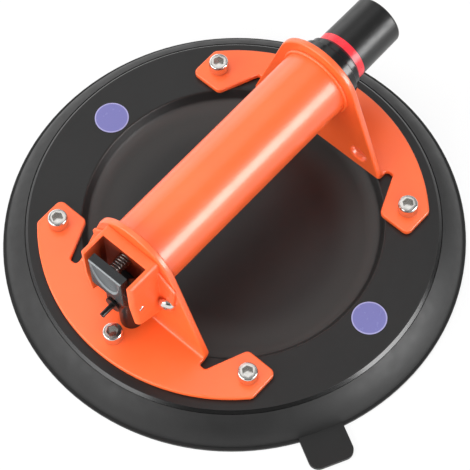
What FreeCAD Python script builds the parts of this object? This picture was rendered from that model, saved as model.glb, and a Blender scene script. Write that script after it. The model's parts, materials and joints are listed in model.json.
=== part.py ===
import FreeCAD, Part

import math
import os
import re

import Sketcher
from FreeCAD import Placement, Rotation, Vector

# Suction cup lifter with a hand pump in its handle. Millimetres, +Z up. The origin is the middle of
# the pad's sealing face, and +X runs along the handle from the release lever to the pump knob.

SIZES = {
    # Rubber pad
    "pad_radius": 105.0,
    "lip_thickness": 1.4,
    "lip_width": 1.2,
    "skirt_radius": 26.0,
    "skirt_drop": 1.3,
    "seal_width": 21.0,
    "seal_groove_inset": 11.0,
    "seal_groove_width": 1.6,
    "seal_groove_depth": 1.0,
    "pad_fit": 0.9,
    "pad_recess": 3.0,
    "bond_gap": 0.05,
    "tab_angle": -117.0,
    "tab_width": 20.5,
    "tab_length": 14.5,
    "tab_overlap": 8.0,
    "tab_thickness": 2.0,
    "tab_round": 4.5,
    # Base plate
    "skirt_width": 11.3,
    "plate_top": 15.5,
    "plate_web": 4.0,
    "plate_edge_round": 1.6,
    "rim_width": 3.5,
    "rim_depth": 7.0,
    "land_width": 25.6,
    "dish_slope": 4.0,
    "dish_depth": 8.0,
    "dish_thickness": 2.6,
    "dish_wall": 2.2,
    "dish_round": 1.2,
    "dish_floor_round": 8.0,
    "port_boss_radius": 9.5,
    # Foot screws and their inserts
    "screw_margin": 9.7,
    "screw_angle": 46.5,
    "screw_shank": 6.0,
    "screw_length": 12.6,
    "screw_head": 9.0,
    "screw_head_height": 6.0,
    "screw_head_round": 0.5,
    "screw_key": 4.6,
    "screw_key_depth": 3.0,
    "screw_clearance": 0.3,
    "insert_diameter": 9.0,
    "insert_length": 9.4,
    "insert_sink": 0.2,
    "insert_boss": 14.0,
    "insert_boss_depth": 6.4,
    # Brackets
    "bracket_sheet": 3.0,
    "foot_margin": 6.0,
    "ear_angle": 47.35,
    "ear_end_width": 15.2,
    "ear_side": 16.1,
    "ear_round": 3.0,
    "notch_depth": 3.7,
    "notch_gap": 3.5,
    "notch_round": 1.5,
    "fold_half": 36.8,
    "bend_radius": 1.6,
    "upright_inset": 8.6,
    "upright_crown_radius": 21.6,
    "crown_rise": 1.0,
    "lanyard_hole": 9.0,
    "lanyard_offset": 25.0,
    "lanyard_rise": 10.1,
    # Handle tube and pump
    "handle_height": 64.3,
    "tube_diameter": 33.0,
    "tube_wall": 2.0,
    "weld_leg": 1.8,
    "weld_round": 2.5,
    "barrel_gap": 0.15,
    "barrel_wall": 1.3,
    "collar_depth": 18.5,
    "collar_flange_wall": 3.0,
    "collar_flange_length": 7.0,
    "collar_nose_wall": 1.5,
    "collar_nose_length": 3.4,
    "collar_bevel": 0.6,
    "running_gap": 0.05,
    "rest_gap": 0.3,
    "plunger_step": 0.8,
    "plunger_wall": 2.5,
    "plunger_reach": 29.1,
    "plunger_draft": 0.2,
    "plunger_round": 1.2,
    "plunger_web": 6.0,
    "ring_margin": 0.8,
    "ring_width": 3.8,
    "ring_depth": 0.8,
    "piston_length": 9.4,
    "piston_gap": 0.2,
    "piston_seal_section": 2.5,
    "piston_screw_shank": 4.0,
    "piston_screw_head": 8.0,
    "piston_screw_head_height": 3.0,
    "piston_screw_length": 11.0,
    "head_flange_length": 6.0,
    "head_spigot_length": 4.0,
    "return_spring_gap": 0.6,
    "return_spring_wire": 1.4,
    "return_spring_turns": 12.0,
    "check_margin": 0.7,
    "nipple_diameter": 5.0,
    "nipple_reach": 3.6,
    "nipple_bore": 2.6,
    "check_disc": 6.0,
    "check_disc_thickness": 1.2,
    "check_stem_length": 3.0,
    # Release housing and lever
    "housing_half": 14.5,
    "housing_wall": 2.5,
    "housing_depth": 16.9,
    "housing_rise": 15.7,
    "housing_back": 5.0,
    "housing_front_drop": 19.7,
    "housing_rear_drop": 26.3,
    "housing_break_drop": 1.3,
    "housing_setback": 1.6,
    "housing_round": 2.2,
    "valve_window_half": 7.5,
    "valve_window_drop": 2.8,
    "flange_thickness": 1.4,
    "flange_root_rise": 10.6,
    "flange_shoulder_half": 23.4,
    "flange_shoulder_rise": 0.7,
    "flange_foot_half": 20.8,
    "flange_foot_drop": 20.0,
    "flange_round": 2.0,
    "housing_screw_offset": 18.3,
    "housing_screw_drop": 13.9,
    "housing_screw_shank": 4.0,
    "housing_screw_head": 7.6,
    "housing_screw_head_height": 2.6,
    "pin_standoff": 12.0,
    "pin_drop": 7.3,
    "pin_diameter": 3.0,
    "pin_proud": 0.3,
    "lever_half": 9.2,
    "lever_proud": 0.6,
    "lever_thickness": 4.2,
    "lever_rise": 15.3,
    "lever_hub_radius": 3.2,
    "lever_edge_round": 0.8,
    "thumb_dish_half": 7.8,
    "thumb_dish_height": 15.6,
    "thumb_dish_depth": 1.9,
    "thumb_dish_rim": 1.6,
    "fork_slot_half": 1.7,
    "fork_half": 4.3,
    "fork_nose_radius": 1.0,
    "fork_offset": 1.8,
    "lever_spring_radius": 2.6,
    "lever_spring_wire": 0.7,
    "lever_spring_turns": 6.0,
    "lever_spring_rise": 9.7,
    "spring_seat_depth": 1.2,
    # Release valve
    "valve_standoff": 6.8,
    "valve_radius": 5.1,
    "valve_shoulder_rise": 4.7,
    "valve_neck_radius": 3.8,
    "valve_neck_rise": 5.7,
    "valve_drop": 17.8,
    "valve_seat_radius": 4.6,
    "valve_pocket_radius": 4.1,
    "valve_seat_depth": 4.2,
    "valve_seat_bore": 3.6,
    "valve_passage": 3.4,
    "valve_passage_shift": 1.9,
    "spigot_diameter": 8.0,
    "spigot_gap": 0.05,
    "stem_diameter": 2.5,
    "stem_tip": 6.4,
    "stem_flange": 7.6,
    "stem_flange_thickness": 1.0,
    "stem_tail": 1.2,
    "seal_disc": 7.2,
    "seal_disc_thickness": 1.4,
    "port_ring_section": 1.6,
    "filter_diameter": 10.0,
    "filter_thickness": 1.6,
    # Stickers
    "sticker_diameter": 15.7,
    "sticker_thickness": 0.3,
    "sticker_inset": 16.4,
    "sticker_shift": 2.7,
}

# Places and fits worked out from the sizes above.
PLACES = {
    "plate_radius": "pad_radius - skirt_width",
    "seal_inner_radius": "pad_radius - seal_width",
    "seal_groove_radius": "pad_radius - seal_groove_inset",
    "tab_reach": "pad_radius + tab_length",
    "dish_radius": "plate_radius - land_width",
    "dish_floor_radius": "dish_radius - dish_slope",
    "dish_floor": "plate_top - dish_depth",
    "pad_inner_radius": "dish_radius + dish_wall + pad_fit",
    "foot_radius": "plate_radius - foot_margin",
    "screw_circle": "foot_radius - screw_margin",
    "sticker_circle": "plate_radius - sticker_inset",
    "ear_half": "foot_radius * sin(1deg * ear_angle)",
    "ear_tip": "foot_radius * cos(1deg * ear_angle)",
    "ear_inner": "ear_tip - ear_end_width",
    "ear_step": "ear_half - ear_side",
    "notch_reach": "upright_outer + notch_depth",
    "notch_half": "fold_half + notch_gap",
    "web_bottom": "plate_top - plate_web",
    "rim_bottom": "plate_top - rim_depth",
    "dish_bottom": "dish_floor - dish_thickness",
    "boss_bottom": "web_bottom - insert_boss_depth",
    "foot_top": "plate_top + bracket_sheet",
    "upright_outer": "dish_radius - upright_inset",
    "upright_inner": "upright_outer - bracket_sheet",
    "bend_outer_radius": "bend_radius + bracket_sheet - running_gap",
    "upright_crown_height": "handle_height + crown_rise",
    "lanyard_height": "foot_top + lanyard_rise",
    "taper_start": "plate_top + bend_outer_radius + rest_gap",
    "insert_top": "plate_top - insert_sink",
    "tube_inner": "tube_diameter / 2 - tube_wall",
    "barrel_outer": "tube_inner - barrel_gap",
    "barrel_inner": "barrel_outer - barrel_wall",
    "barrel_start": "head_flange_length - upright_inner",
    "head_face": "barrel_start + head_spigot_length",
    "collar_inner_end": "upright_outer - collar_depth",
    "collar_step": "upright_outer + collar_flange_length",
    "collar_end": "collar_step + collar_nose_length",
    "plunger_radius": "barrel_inner - plunger_step",
    "flange_radius": "plunger_radius + collar_flange_wall",
    "nose_radius": "plunger_radius + collar_nose_wall",
    "plunger_end": "collar_end + plunger_reach",
    "ring_start": "collar_end + ring_margin",
    "ring_floor": "plunger_radius - ring_depth",
    "piston_back": "collar_inner_end - rest_gap",
    "piston_front": "piston_back - piston_length",
    "piston_radius": "barrel_inner - piston_gap",
    "seal_centre": "(piston_front + piston_back) / 2",
    "piston_seal_major": "barrel_inner - running_gap - piston_seal_section / 2",
    "piston_groove": "piston_seal_major - piston_seal_section / 2",
    "piston_groove_half": "piston_seal_section / 2 + running_gap",
    "nipple_offset": "barrel_inner - check_disc / 2 - check_margin",
    "return_spring_reach": "nipple_offset - check_disc / 2 - return_spring_gap",
    "return_spring_radius": "return_spring_reach - return_spring_wire / 2",
    "nipple_height": "handle_height - nipple_offset",
    "housing_reach": "upright_outer + housing_depth",
    "housing_top": "handle_height + housing_rise",
    "housing_front_foot": "handle_height - housing_front_drop",
    "housing_rear_foot": "handle_height - housing_rear_drop",
    "housing_break": "handle_height - housing_break_drop",
    "valve_window_top": "handle_height - valve_window_drop",
    "flange_root": "housing_half - housing_wall / 2",
    "flange_root_height": "handle_height + flange_root_rise",
    "flange_shoulder_height": "handle_height + flange_shoulder_rise",
    "flange_foot_height": "handle_height - flange_foot_drop",
    "housing_screw_height": "handle_height - housing_screw_drop",
    "pin_x": "upright_outer + pin_standoff",
    "pin_height": "handle_height - pin_drop",
    "lever_front": "housing_reach + lever_proud",
    "lever_top": "handle_height + lever_rise",
    "fork_nose_x": "pin_x + fork_offset",
    "lever_spring_height": "handle_height + lever_spring_rise",
    "housing_inner_half": "housing_half - housing_wall",
    "housing_back_face": "upright_outer + housing_back",
    "flange_face": "upright_outer + flange_thickness",
    "lever_back": "lever_front - lever_thickness",
    "lever_spring_start": "housing_back_face - spring_seat_depth",
    "valve_x": "upright_outer + valve_standoff",
    "valve_passage_x": "valve_x - valve_passage_shift",
    "valve_height": "handle_height - valve_drop",
    "valve_shoulder": "valve_height + valve_shoulder_rise",
    "valve_neck_top": "nipple_height + valve_neck_rise",
    "valve_seat_face": "fork_nose_x - fork_nose_radius - rest_gap",
    "seat_floor": "valve_seat_face - valve_seat_depth",
    "socket_depth": "valve_passage_x - upright_outer",
    "seal_face": "-seat_floor - running_gap",
    "stem_flange_inner": "fork_nose_x + fork_nose_radius + rest_gap",
    "stem_front": "stem_flange_inner + stem_flange_thickness + stem_tip",
    "neck_x": "upright_outer + valve_neck_radius + 2 * running_gap",
    "spigot_radius": "spigot_diameter / 2",
    "port_ring_major": "spigot_radius + port_ring_section / 2 + spigot_gap",
    "port_recess_radius": "port_ring_major + port_ring_section / 2 + spigot_gap",
    "filter_top": "dish_bottom + filter_thickness",
}

doc = FreeCAD.newDocument("SuctionCupLifter")
sheet = doc.addObject("Spreadsheet::Sheet", "Sizes")
for row, (alias, number) in enumerate(SIZES.items(), start=1):
    sheet.set(f"A{row}", alias.replace("_", " "))
    sheet.set(f"B{row}", str(number))
    sheet.setAlias(f"B{row}", alias)
doc.recompute()

sub_parts = []
# How near an edge has to pass to a spot that picks it.
EDGE_REACH = 0.02


def cell_expression(text):
    """Expression with each plain name replaced by its cell or by the place it stands for."""

    def swap(match):
        name = match.group(0)
        if name in PLACES:
            return "(" + cell_expression(PLACES[name]) + ")"
        return "Sizes." + name if name in SIZES else name

    return re.sub(r"[a-z][a-z_0-9]*", swap, text)


def number(text):
    """The number that an expression gives with the present sizes."""
    return float(sheet.evalExpression(cell_expression(text)))


def bind(item, prop, text):
    """Drive a property by the sizes sheet."""
    item.setExpression(prop, cell_expression(text))


def new_body(label, along_handle=False, base=("0", "0", "0"), turned=0):
    """A named solid; along_handle lays its own Z axis on the handle's direction, at base."""
    body = doc.addObject("PartDesign::Body", label)
    body.Label = label
    if along_handle:
        body.Placement = Placement(Vector(), Rotation(Vector(0, 1, 0), 90))
    if turned:
        body.Placement = Placement(Vector(), Rotation(Vector(0, 0, 1), turned))
    for axis, text in zip("xyz", base):
        bind(body, f"Placement.Base.{axis}", text)
    return body


def keep(item):
    """List an object as one of the assembly's sub-parts."""
    sub_parts.append(item)
    return item


def new_sketch(body, name, plane, height="0"):
    """An empty sketch on one of the body's own planes, at a height along the plane's normal."""
    sketch = body.newObject("Sketcher::SketchObject", f"{body.Name}_{name}")
    support = next(item for item in body.Origin.OriginFeatures if item.Role == plane)
    sketch.AttachmentSupport = (support, [""])
    sketch.MapMode = "FlatFace"
    if height != "0":
        bind(sketch, "AttachmentOffset.Base.z", height)
    return sketch


def pin_point(sketch, geometry, position, x, y):
    """Hold a sketch point at two driven distances from the sketch's origin."""
    for kind, text in (("DistanceX", x), ("DistanceY", y)):
        index = sketch.addConstraint(Sketcher.Constraint(kind, -1, 1, geometry, position, number(text)))
        bind(sketch, f"Constraints[{index}]", text)


def arc_between(start, end, radius, left):
    """Short arc from start to end with its centre on the left or right of the chord."""
    chord = end - start
    rise = math.sqrt(radius * radius - (chord.Length / 2) ** 2)
    normal = Vector(-chord.y, chord.x, 0) / chord.Length
    centre = (start + end) / 2 + normal * (rise if left else -rise)
    first, last = (start, end) if left else (end, start)
    angles = [math.atan2(point.y - centre.y, point.x - centre.x) for point in (first, last)]
    return Part.ArcOfCircle(Part.Circle(centre, Vector(0, 0, 1), radius), angles[0], angles[1])


def outline(body, name, plane, corners, height="0", arcs=None):
    """Closed outline through driven corners; arcs maps a side's number to its radius and centre side."""
    sketch = new_sketch(body, name, plane, height)
    arcs = arcs or {}
    points = [Vector(number(x), number(y), 0) for x, y in corners]
    ends = []
    for side, start in enumerate(points):
        end = points[(side + 1) % len(points)]
        if side in arcs:
            radius, left = arcs[side]
            sketch.addGeometry(arc_between(start, end, number(radius), left))
            ends.append((1, 2) if left else (2, 1))
        else:
            sketch.addGeometry(Part.LineSegment(start, end))
            ends.append((1, 2))
    for side in range(len(points)):
        following = (side + 1) % len(points)
        join = Sketcher.Constraint("Coincident", side, ends[side][1], following, ends[following][0])
        sketch.addConstraint(join)
    for side, (x, y) in enumerate(corners):
        pin_point(sketch, side, ends[side][0], x, y)
    for side, (radius, _) in arcs.items():
        index = sketch.addConstraint(Sketcher.Constraint("Radius", side, number(radius)))
        bind(sketch, f"Constraints[{index}]", radius)
    return sketch


def circles(body, name, plane, places, height="0"):
    """Circles, each given by its centre and radius."""
    sketch = new_sketch(body, name, plane, height)
    for index, (x, y, radius) in enumerate(places):
        sketch.addGeometry(Part.Circle(Vector(number(x), number(y), 0), Vector(0, 0, 1), number(radius)))
        pin_point(sketch, index, 3, x, y)
        rule = sketch.addConstraint(Sketcher.Constraint("Radius", index, number(radius)))
        bind(sketch, f"Constraints[{rule}]", radius)
    return sketch


def finish_feature(body, feature, removes):
    """Recompute, and make sure that the feature changed the solid the right way."""
    before = feature.BaseFeature.Shape.Volume if feature.BaseFeature else 0.0
    doc.recompute()
    change = feature.Shape.Volume - before
    if (change >= 0) == removes:
        raise RuntimeError(f"{feature.Name} changed the volume of {body.Label} by {change:.3f}")
    return feature


def extrude(body, sketch, length, removes=False, both_ways=False, backwards=False):
    """Pad or pocket of a sketch by a driven length."""
    kind = "PartDesign::Pocket" if removes else "PartDesign::Pad"
    feature = body.newObject(kind, sketch.Name + ("_cut" if removes else "_pad"))
    feature.Profile = sketch
    feature.Reversed = backwards
    if both_ways:
        feature.SideType = "Symmetric"
    bind(feature, "Length", length)
    return finish_feature(body, feature, removes)


def turn(body, sketch, removes=False):
    """Full revolution of a profile about the sketch's upright axis."""
    kind = "PartDesign::Groove" if removes else "PartDesign::Revolution"
    feature = body.newObject(kind, sketch.Name + "_turn")
    feature.Profile = sketch
    feature.ReferenceAxis = (sketch, ["V_Axis"])
    feature.Angle = 360.0
    return finish_feature(body, feature, removes)


def edge_names(shape, spots):
    """Names of the edges that pass through the given spots."""
    names = []
    for spot in spots:
        vertex = Part.Vertex(Vector(*[number(text) for text in spot]))
        gaps = [vertex.distToShape(edge)[0] for edge in shape.Edges]
        nearest = min(range(len(gaps)), key=gaps.__getitem__)
        if gaps[nearest] > EDGE_REACH:
            raise RuntimeError(f"no edge passes through {spot}")
        names.append(f"Edge{nearest + 1}")
    return names


def soften(body, radius, spots, bevel=False):
    """Round or bevel the edges that pass through the given spots."""
    base = body.Tip
    feature = body.newObject("PartDesign::Chamfer" if bevel else "PartDesign::Fillet", f"{body.Name}_soft")
    feature.Base = (base, edge_names(base.Shape, spots))
    bind(feature, "Size" if bevel else "Radius", radius)
    doc.recompute()
    return feature


def turned_solid(label, corners, arcs=None, **where):
    """A body made by one revolved profile of radius and height pairs."""
    body = new_body(label, **where)
    turn(body, outline(body, "profile", "XZ_Plane", corners, arcs=arcs))
    return body


def group(label, master, places, turn_axis=Vector(0, 0, 1), angles=(0,)):
    """Copies of one piece as a node of separate solids."""
    copies = []
    for index, place in enumerate(places):
        copy = doc.addObject("App::Link", f"{label}_{index + 1}")
        copy.LinkedObject = master
        copy.Placement = Placement(Vector(), Rotation(turn_axis, angles[index % len(angles)]))
        for axis, text in zip("xyz", place):
            bind(copy, f"Placement.Base.{axis}", text)
        copies.append(copy)
    node = doc.addObject("Part::Compound", label)
    node.Label = label
    node.Links = copies
    return keep(node)


def coil(label, radius, wire, turns, start, length, height):
    """Helical spring along the handle's direction from start."""
    helix = doc.addObject("Part::Helix", f"{label}_line")
    bind(helix, "Radius", radius)
    bind(helix, "Height", f"({length}) - {wire}")
    bind(helix, "Pitch", f"(({length}) - {wire}) / {turns}")
    section = doc.addObject("Part::Circle", f"{label}_section")
    section.Placement = Placement(Vector(), Rotation(Vector(1, 0, 0), 90))
    bind(section, "Radius", f"{wire} / 2")
    bind(section, "Placement.Base.x", radius)
    spring = doc.addObject("Part::Sweep", label)
    spring.Label = label
    spring.Sections = [section]
    spring.Spine = (helix, ["Edge1"])
    spring.Solid = True
    spring.Frenet = True
    spring.Placement = Placement(Vector(), Rotation(Vector(0, 1, 0), 90))
    bind(spring, "Placement.Base.x", f"({start}) + {wire} / 2")
    bind(spring, "Placement.Base.z", height)
    return keep(spring)


# The six foot screws: one on the handle's line and one on each ear, at both ends.
SCREW_ANGLES = ("0deg", "1deg * screw_angle", "-1deg * screw_angle")
SCREW_PLACES = [
    (f"{end} screw_circle * cos({angle})", f"screw_circle * sin({angle})")
    for end in ("", "-")
    for angle in SCREW_ANGLES
]
BRACKET_SCREWS = SCREW_PLACES[:3]


def make_rubber_pad():
    body = keep(new_body("rubber_pad"))
    corners = [
        ("seal_inner_radius", "0"),
        ("pad_radius", "0"),
        ("pad_radius", "lip_thickness"),
        ("pad_radius - lip_width", "lip_thickness"),
        ("plate_radius + bond_gap", "plate_top - skirt_drop"),
        ("plate_radius + bond_gap", "rim_bottom"),
        ("plate_radius - rim_width - bond_gap", "rim_bottom"),
        ("plate_radius - rim_width - bond_gap", "web_bottom"),
        ("pad_inner_radius", "web_bottom"),
        ("pad_inner_radius", "pad_recess"),
        ("seal_inner_radius - pad_recess", "pad_recess"),
    ]
    turn(body, outline(body, "section", "XZ_Plane", corners, arcs={3: ("skirt_radius", True)}))
    tab = [
        ("pad_radius - tab_overlap", "-tab_width / 2"),
        ("tab_reach", "-tab_width / 2"),
        ("tab_reach", "tab_width / 2"),
        ("pad_radius - tab_overlap", "tab_width / 2"),
    ]
    tab_sketch = outline(body, "tab", "XY_Plane", tab)
    tab_sketch.AttachmentOffset = Placement(Vector(), Rotation(Vector(0, 0, 1), number("tab_angle")))
    bind(tab_sketch, "AttachmentOffset.Rotation.Angle", "tab_angle")
    extrude(body, tab_sketch, "tab_thickness")
    across = "tab_reach * {0}(1deg * tab_angle) {2} tab_width / 2 * {1}(1deg * tab_angle)"
    ends = [
        (across.format("cos", "sin", "-"), across.format("sin", "cos", "+"), "tab_thickness / 2"),
        (across.format("cos", "sin", "+"), across.format("sin", "cos", "-"), "tab_thickness / 2"),
    ]
    soften(body, "tab_round", ends)
    pockets = [(x, y, "insert_boss / 2 + screw_clearance") for x, y in SCREW_PLACES]
    pocket_sketch = circles(body, "boss_pockets", "XY_Plane", pockets, height="web_bottom")
    extrude(body, pocket_sketch, "insert_boss_depth + screw_clearance", removes=True)
    port_pocket = [("-valve_x", "0", "port_boss_radius + screw_clearance")]
    port_sketch = circles(body, "port_pocket", "XY_Plane", port_pocket, height="web_bottom")
    extrude(body, port_sketch, "web_bottom - dish_bottom + screw_clearance", removes=True)
    groove = [("0", "0", f"seal_groove_radius {sign} seal_groove_width / 2") for sign in "-+"]
    groove_sketch = circles(body, "seal_groove", "XY_Plane", groove)
    extrude(body, groove_sketch, "seal_groove_depth", removes=True, backwards=True)


def make_base_plate():
    body = keep(new_body("base_plate"))
    corners = [
        ("0", "dish_bottom"),
        ("dish_floor_radius + dish_wall", "dish_bottom"),
        ("dish_radius + dish_wall", "web_bottom"),
        ("plate_radius - rim_width", "web_bottom"),
        ("plate_radius - rim_width", "rim_bottom"),
        ("plate_radius", "rim_bottom"),
        ("plate_radius", "plate_top"),
        ("dish_radius", "plate_top"),
        ("dish_floor_radius", "dish_floor"),
        ("0", "dish_floor"),
    ]
    turn(body, outline(body, "section", "XZ_Plane", corners))
    soften(body, "plate_edge_round", [("0", "plate_radius", "plate_top")])
    soften(body, "dish_round", [("0", "dish_radius", "plate_top")])
    soften(body, "dish_floor_round", [("0", "dish_floor_radius", "dish_floor")])
    bosses = [(x, y, "insert_boss / 2") for x, y in SCREW_PLACES]
    boss_sketch = circles(body, "insert_bosses", "XY_Plane", bosses, height="boss_bottom")
    extrude(body, boss_sketch, "insert_boss_depth + plate_web / 2")
    port_boss = [("-valve_x", "0", "port_boss_radius")]
    port_sketch = circles(body, "port_boss", "XY_Plane", port_boss, height="dish_bottom")
    extrude(body, port_sketch, "plate_top - dish_bottom")
    insert_holes = [(x, y, "insert_diameter / 2") for x, y in SCREW_PLACES]
    hole_sketch = circles(body, "insert_holes", "XY_Plane", insert_holes, height="plate_top")
    extrude(body, hole_sketch, "plate_top", removes=True)
    steps = [
        ("bore", "spigot_radius + spigot_gap", "plate_top", "plate_top"),
        ("ring_recess", "port_recess_radius", "plate_top", "port_ring_section"),
        ("filter_recess", "filter_diameter / 2", "filter_top", "plate_top"),
    ]
    for name, radius, height, depth in steps:
        step_sketch = circles(body, f"port_{name}", "XY_Plane", [("-valve_x", "0", radius)], height=height)
        extrude(body, step_sketch, depth, removes=True)


def make_bracket(label, turned):
    """A bent sheet bracket: the foot with its two ears, and the tapered upright with its round crown."""
    body = keep(new_body(label, turned=turned))
    foot_half = [
        ("upright_inner", "fold_half"),
        ("notch_reach", "fold_half"),
        ("notch_reach", "notch_half"),
        ("ear_inner", "ear_step"),
        ("ear_inner", "ear_half"),
        ("foot_radius", "ear_half"),
    ]
    mirrored = [(x, f"-{y}") for x, y in reversed(foot_half)]
    foot = outline(body, "foot", "XY_Plane", foot_half + mirrored, height="plate_top")
    extrude(body, foot, "bracket_sheet")
    outside = [("0", "0", "foot_radius"), ("0", "0", "2 * foot_radius")]
    trim = circles(body, "foot_trim", "XY_Plane", outside, height="foot_top")
    extrude(body, trim, "bracket_sheet", removes=True)
    extrude(body, upright_sketch(body), "bracket_sheet")
    soften(body, "bend_radius", [("upright_outer", "0", "foot_top")])
    soften(body, "bend_outer_radius", [("upright_inner", "0", "plate_top")])
    mid_foot = "plate_top + bracket_sheet / 2"
    for sign in ("", "-"):
        ear = [("ear_inner", "ear_step"), ("ear_inner", "ear_half"), ("ear_tip", "ear_half")]
        soften(body, "ear_round", [(x, sign + y, mid_foot) for x, y in ear])
        notch = [("notch_reach", "notch_half"), ("notch_reach", "fold_half")]
        soften(body, "notch_round", [(x, sign + y, mid_foot) for x, y in notch])
    holes = [(x, y, "screw_shank / 2 + screw_clearance") for x, y in BRACKET_SCREWS]
    hole_sketch = circles(body, "screw_holes", "XY_Plane", holes, height="foot_top")
    extrude(body, hole_sketch, "bracket_sheet", removes=True)
    return body


def upright_sketch(body):
    """Upright outline: a taper from the fold that runs tangent into the round crown."""
    sketch = new_sketch(body, "upright", "YZ_Plane", height="upright_inner")
    base_half, low, shoulder = number("fold_half"), number("plate_top"), number("taper_start")
    radius, crown = number("upright_crown_radius"), number("upright_crown_height")
    reach = math.hypot(base_half, shoulder - crown)
    lean = math.atan2(shoulder - crown, base_half) + math.acos(radius / reach)
    touch = [Vector(sign * radius * math.cos(lean), crown + radius * math.sin(lean), 0) for sign in (1, -1)]
    path = [Vector(-base_half, low), Vector(base_half, low), Vector(base_half, shoulder), touch[0]]
    back = [touch[1], Vector(-base_half, shoulder), Vector(-base_half, low)]
    for start, end in zip(path, path[1:]):
        sketch.addGeometry(Part.LineSegment(start, end))
    crown_circle = Part.Circle(Vector(0, crown, 0), Vector(0, 0, 1), radius)
    sketch.addGeometry(Part.ArcOfCircle(crown_circle, lean, math.pi - lean))
    for start, end in zip(back, back[1:]):
        sketch.addGeometry(Part.LineSegment(start, end))
    for first, second in ((0, 1), (1, 2), (4, 5), (5, 0)):
        sketch.addConstraint(Sketcher.Constraint("Coincident", first, 2, second, 1))
    sketch.addConstraint(Sketcher.Constraint("Tangent", 2, 2, 3, 1))
    sketch.addConstraint(Sketcher.Constraint("Tangent", 3, 2, 4, 1))
    pin_point(sketch, 0, 1, "-fold_half", "plate_top")
    pin_point(sketch, 1, 1, "fold_half", "plate_top")
    pin_point(sketch, 2, 1, "fold_half", "taper_start")
    pin_point(sketch, 5, 1, "-fold_half", "taper_start")
    pin_point(sketch, 3, 3, "0", "upright_crown_height")
    rule = sketch.addConstraint(Sketcher.Constraint("Radius", 3, radius))
    bind(sketch, f"Constraints[{rule}]", "upright_crown_radius")
    return sketch


def drill_upright(body, name, places):
    """Round holes through a bracket's upright, given across and up."""
    sketch = circles(body, name, "YZ_Plane", places, height="upright_outer")
    extrude(body, sketch, "bracket_sheet", removes=True)


def make_brackets():
    pump = make_bracket("pump_bracket", turned=0)
    drill_upright(pump, "collar_hole", [("0", "handle_height", "tube_inner")])
    lanyard = [(f"{sign}lanyard_offset", "lanyard_height", "lanyard_hole / 2") for sign in ("", "-")]
    drill_upright(pump, "lanyard_holes", lanyard)
    release = make_bracket("release_bracket", turned=180)
    drill_upright(release, "nipple_hole", [("0", "nipple_height", "nipple_diameter / 2 + screw_clearance")])
    taps = [(f"{sign}housing_screw_offset", "housing_screw_height", "housing_screw_shank / 2 + running_gap")
            for sign in ("", "-")]
    drill_upright(release, "housing_screw_holes", taps)
    spigot_place = [("valve_x", "0", "spigot_radius + screw_clearance")]
    spigot_hole = circles(release, "spigot_hole", "XY_Plane", spigot_place, height="foot_top")
    extrude(release, spigot_hole, "bracket_sheet", removes=True)


def make_handle():
    corners = [
        ("tube_inner", "-upright_inner"),
        ("tube_diameter / 2", "-upright_inner"),
        ("tube_diameter / 2", "upright_inner"),
        ("tube_inner", "upright_inner"),
    ]
    keep(turned_solid("handle_tube", corners, along_handle=True, base=("0", "0", "handle_height")))
    toe = "tube_diameter / 2 + bond_gap"
    bead = [(toe, "0"), (f"{toe} + weld_leg", "0"), (toe, "weld_leg")]
    master = turned_solid("weld_bead", bead, arcs={1: ("weld_round", False)})
    ends = [("-upright_inner", "0", "handle_height"), ("upright_inner", "0", "handle_height")]
    group("tube_weld_beads", master, ends, turn_axis=Vector(0, 1, 0), angles=(90, -90))


def hex_corners(across_flats):
    """Corners of a hexagon with flats across the sketch's X axis."""
    corner = f"{across_flats} / 2 / cos(30deg)"
    angles = [60 * side + 30 for side in range(6)]
    return [(f"{corner} * cos({angle}deg)", f"{corner} * sin({angle}deg)") for angle in angles]


def make_foot_screws():
    corners = [
        ("0", "-screw_length"),
        ("screw_shank / 2", "-screw_length"),
        ("screw_shank / 2", "0"),
        ("screw_head / 2", "0"),
        ("screw_head / 2", "screw_head_height"),
        ("0", "screw_head_height"),
    ]
    screw = turned_solid("foot_screw", corners)
    soften(screw, "screw_head_round", [("0", "screw_head / 2", "screw_head_height")])
    key = outline(screw, "key", "XY_Plane", hex_corners("screw_key"), height="screw_head_height")
    extrude(screw, key, "screw_key_depth", removes=True)
    group("foot_screws", screw, [(x, y, "foot_top") for x, y in SCREW_PLACES])
    wall = [
        ("screw_shank / 2 + running_gap", "-insert_length"),
        ("insert_diameter / 2 - running_gap", "-insert_length"),
        ("insert_diameter / 2 - running_gap", "0"),
        ("screw_shank / 2 + running_gap", "0"),
    ]
    insert = turned_solid("thread_insert", wall)
    group("thread_inserts", insert, [(x, y, "insert_top") for x, y in SCREW_PLACES])


ALONG_HANDLE = {"along_handle": True, "base": ("0", "0", "handle_height")}


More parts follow.
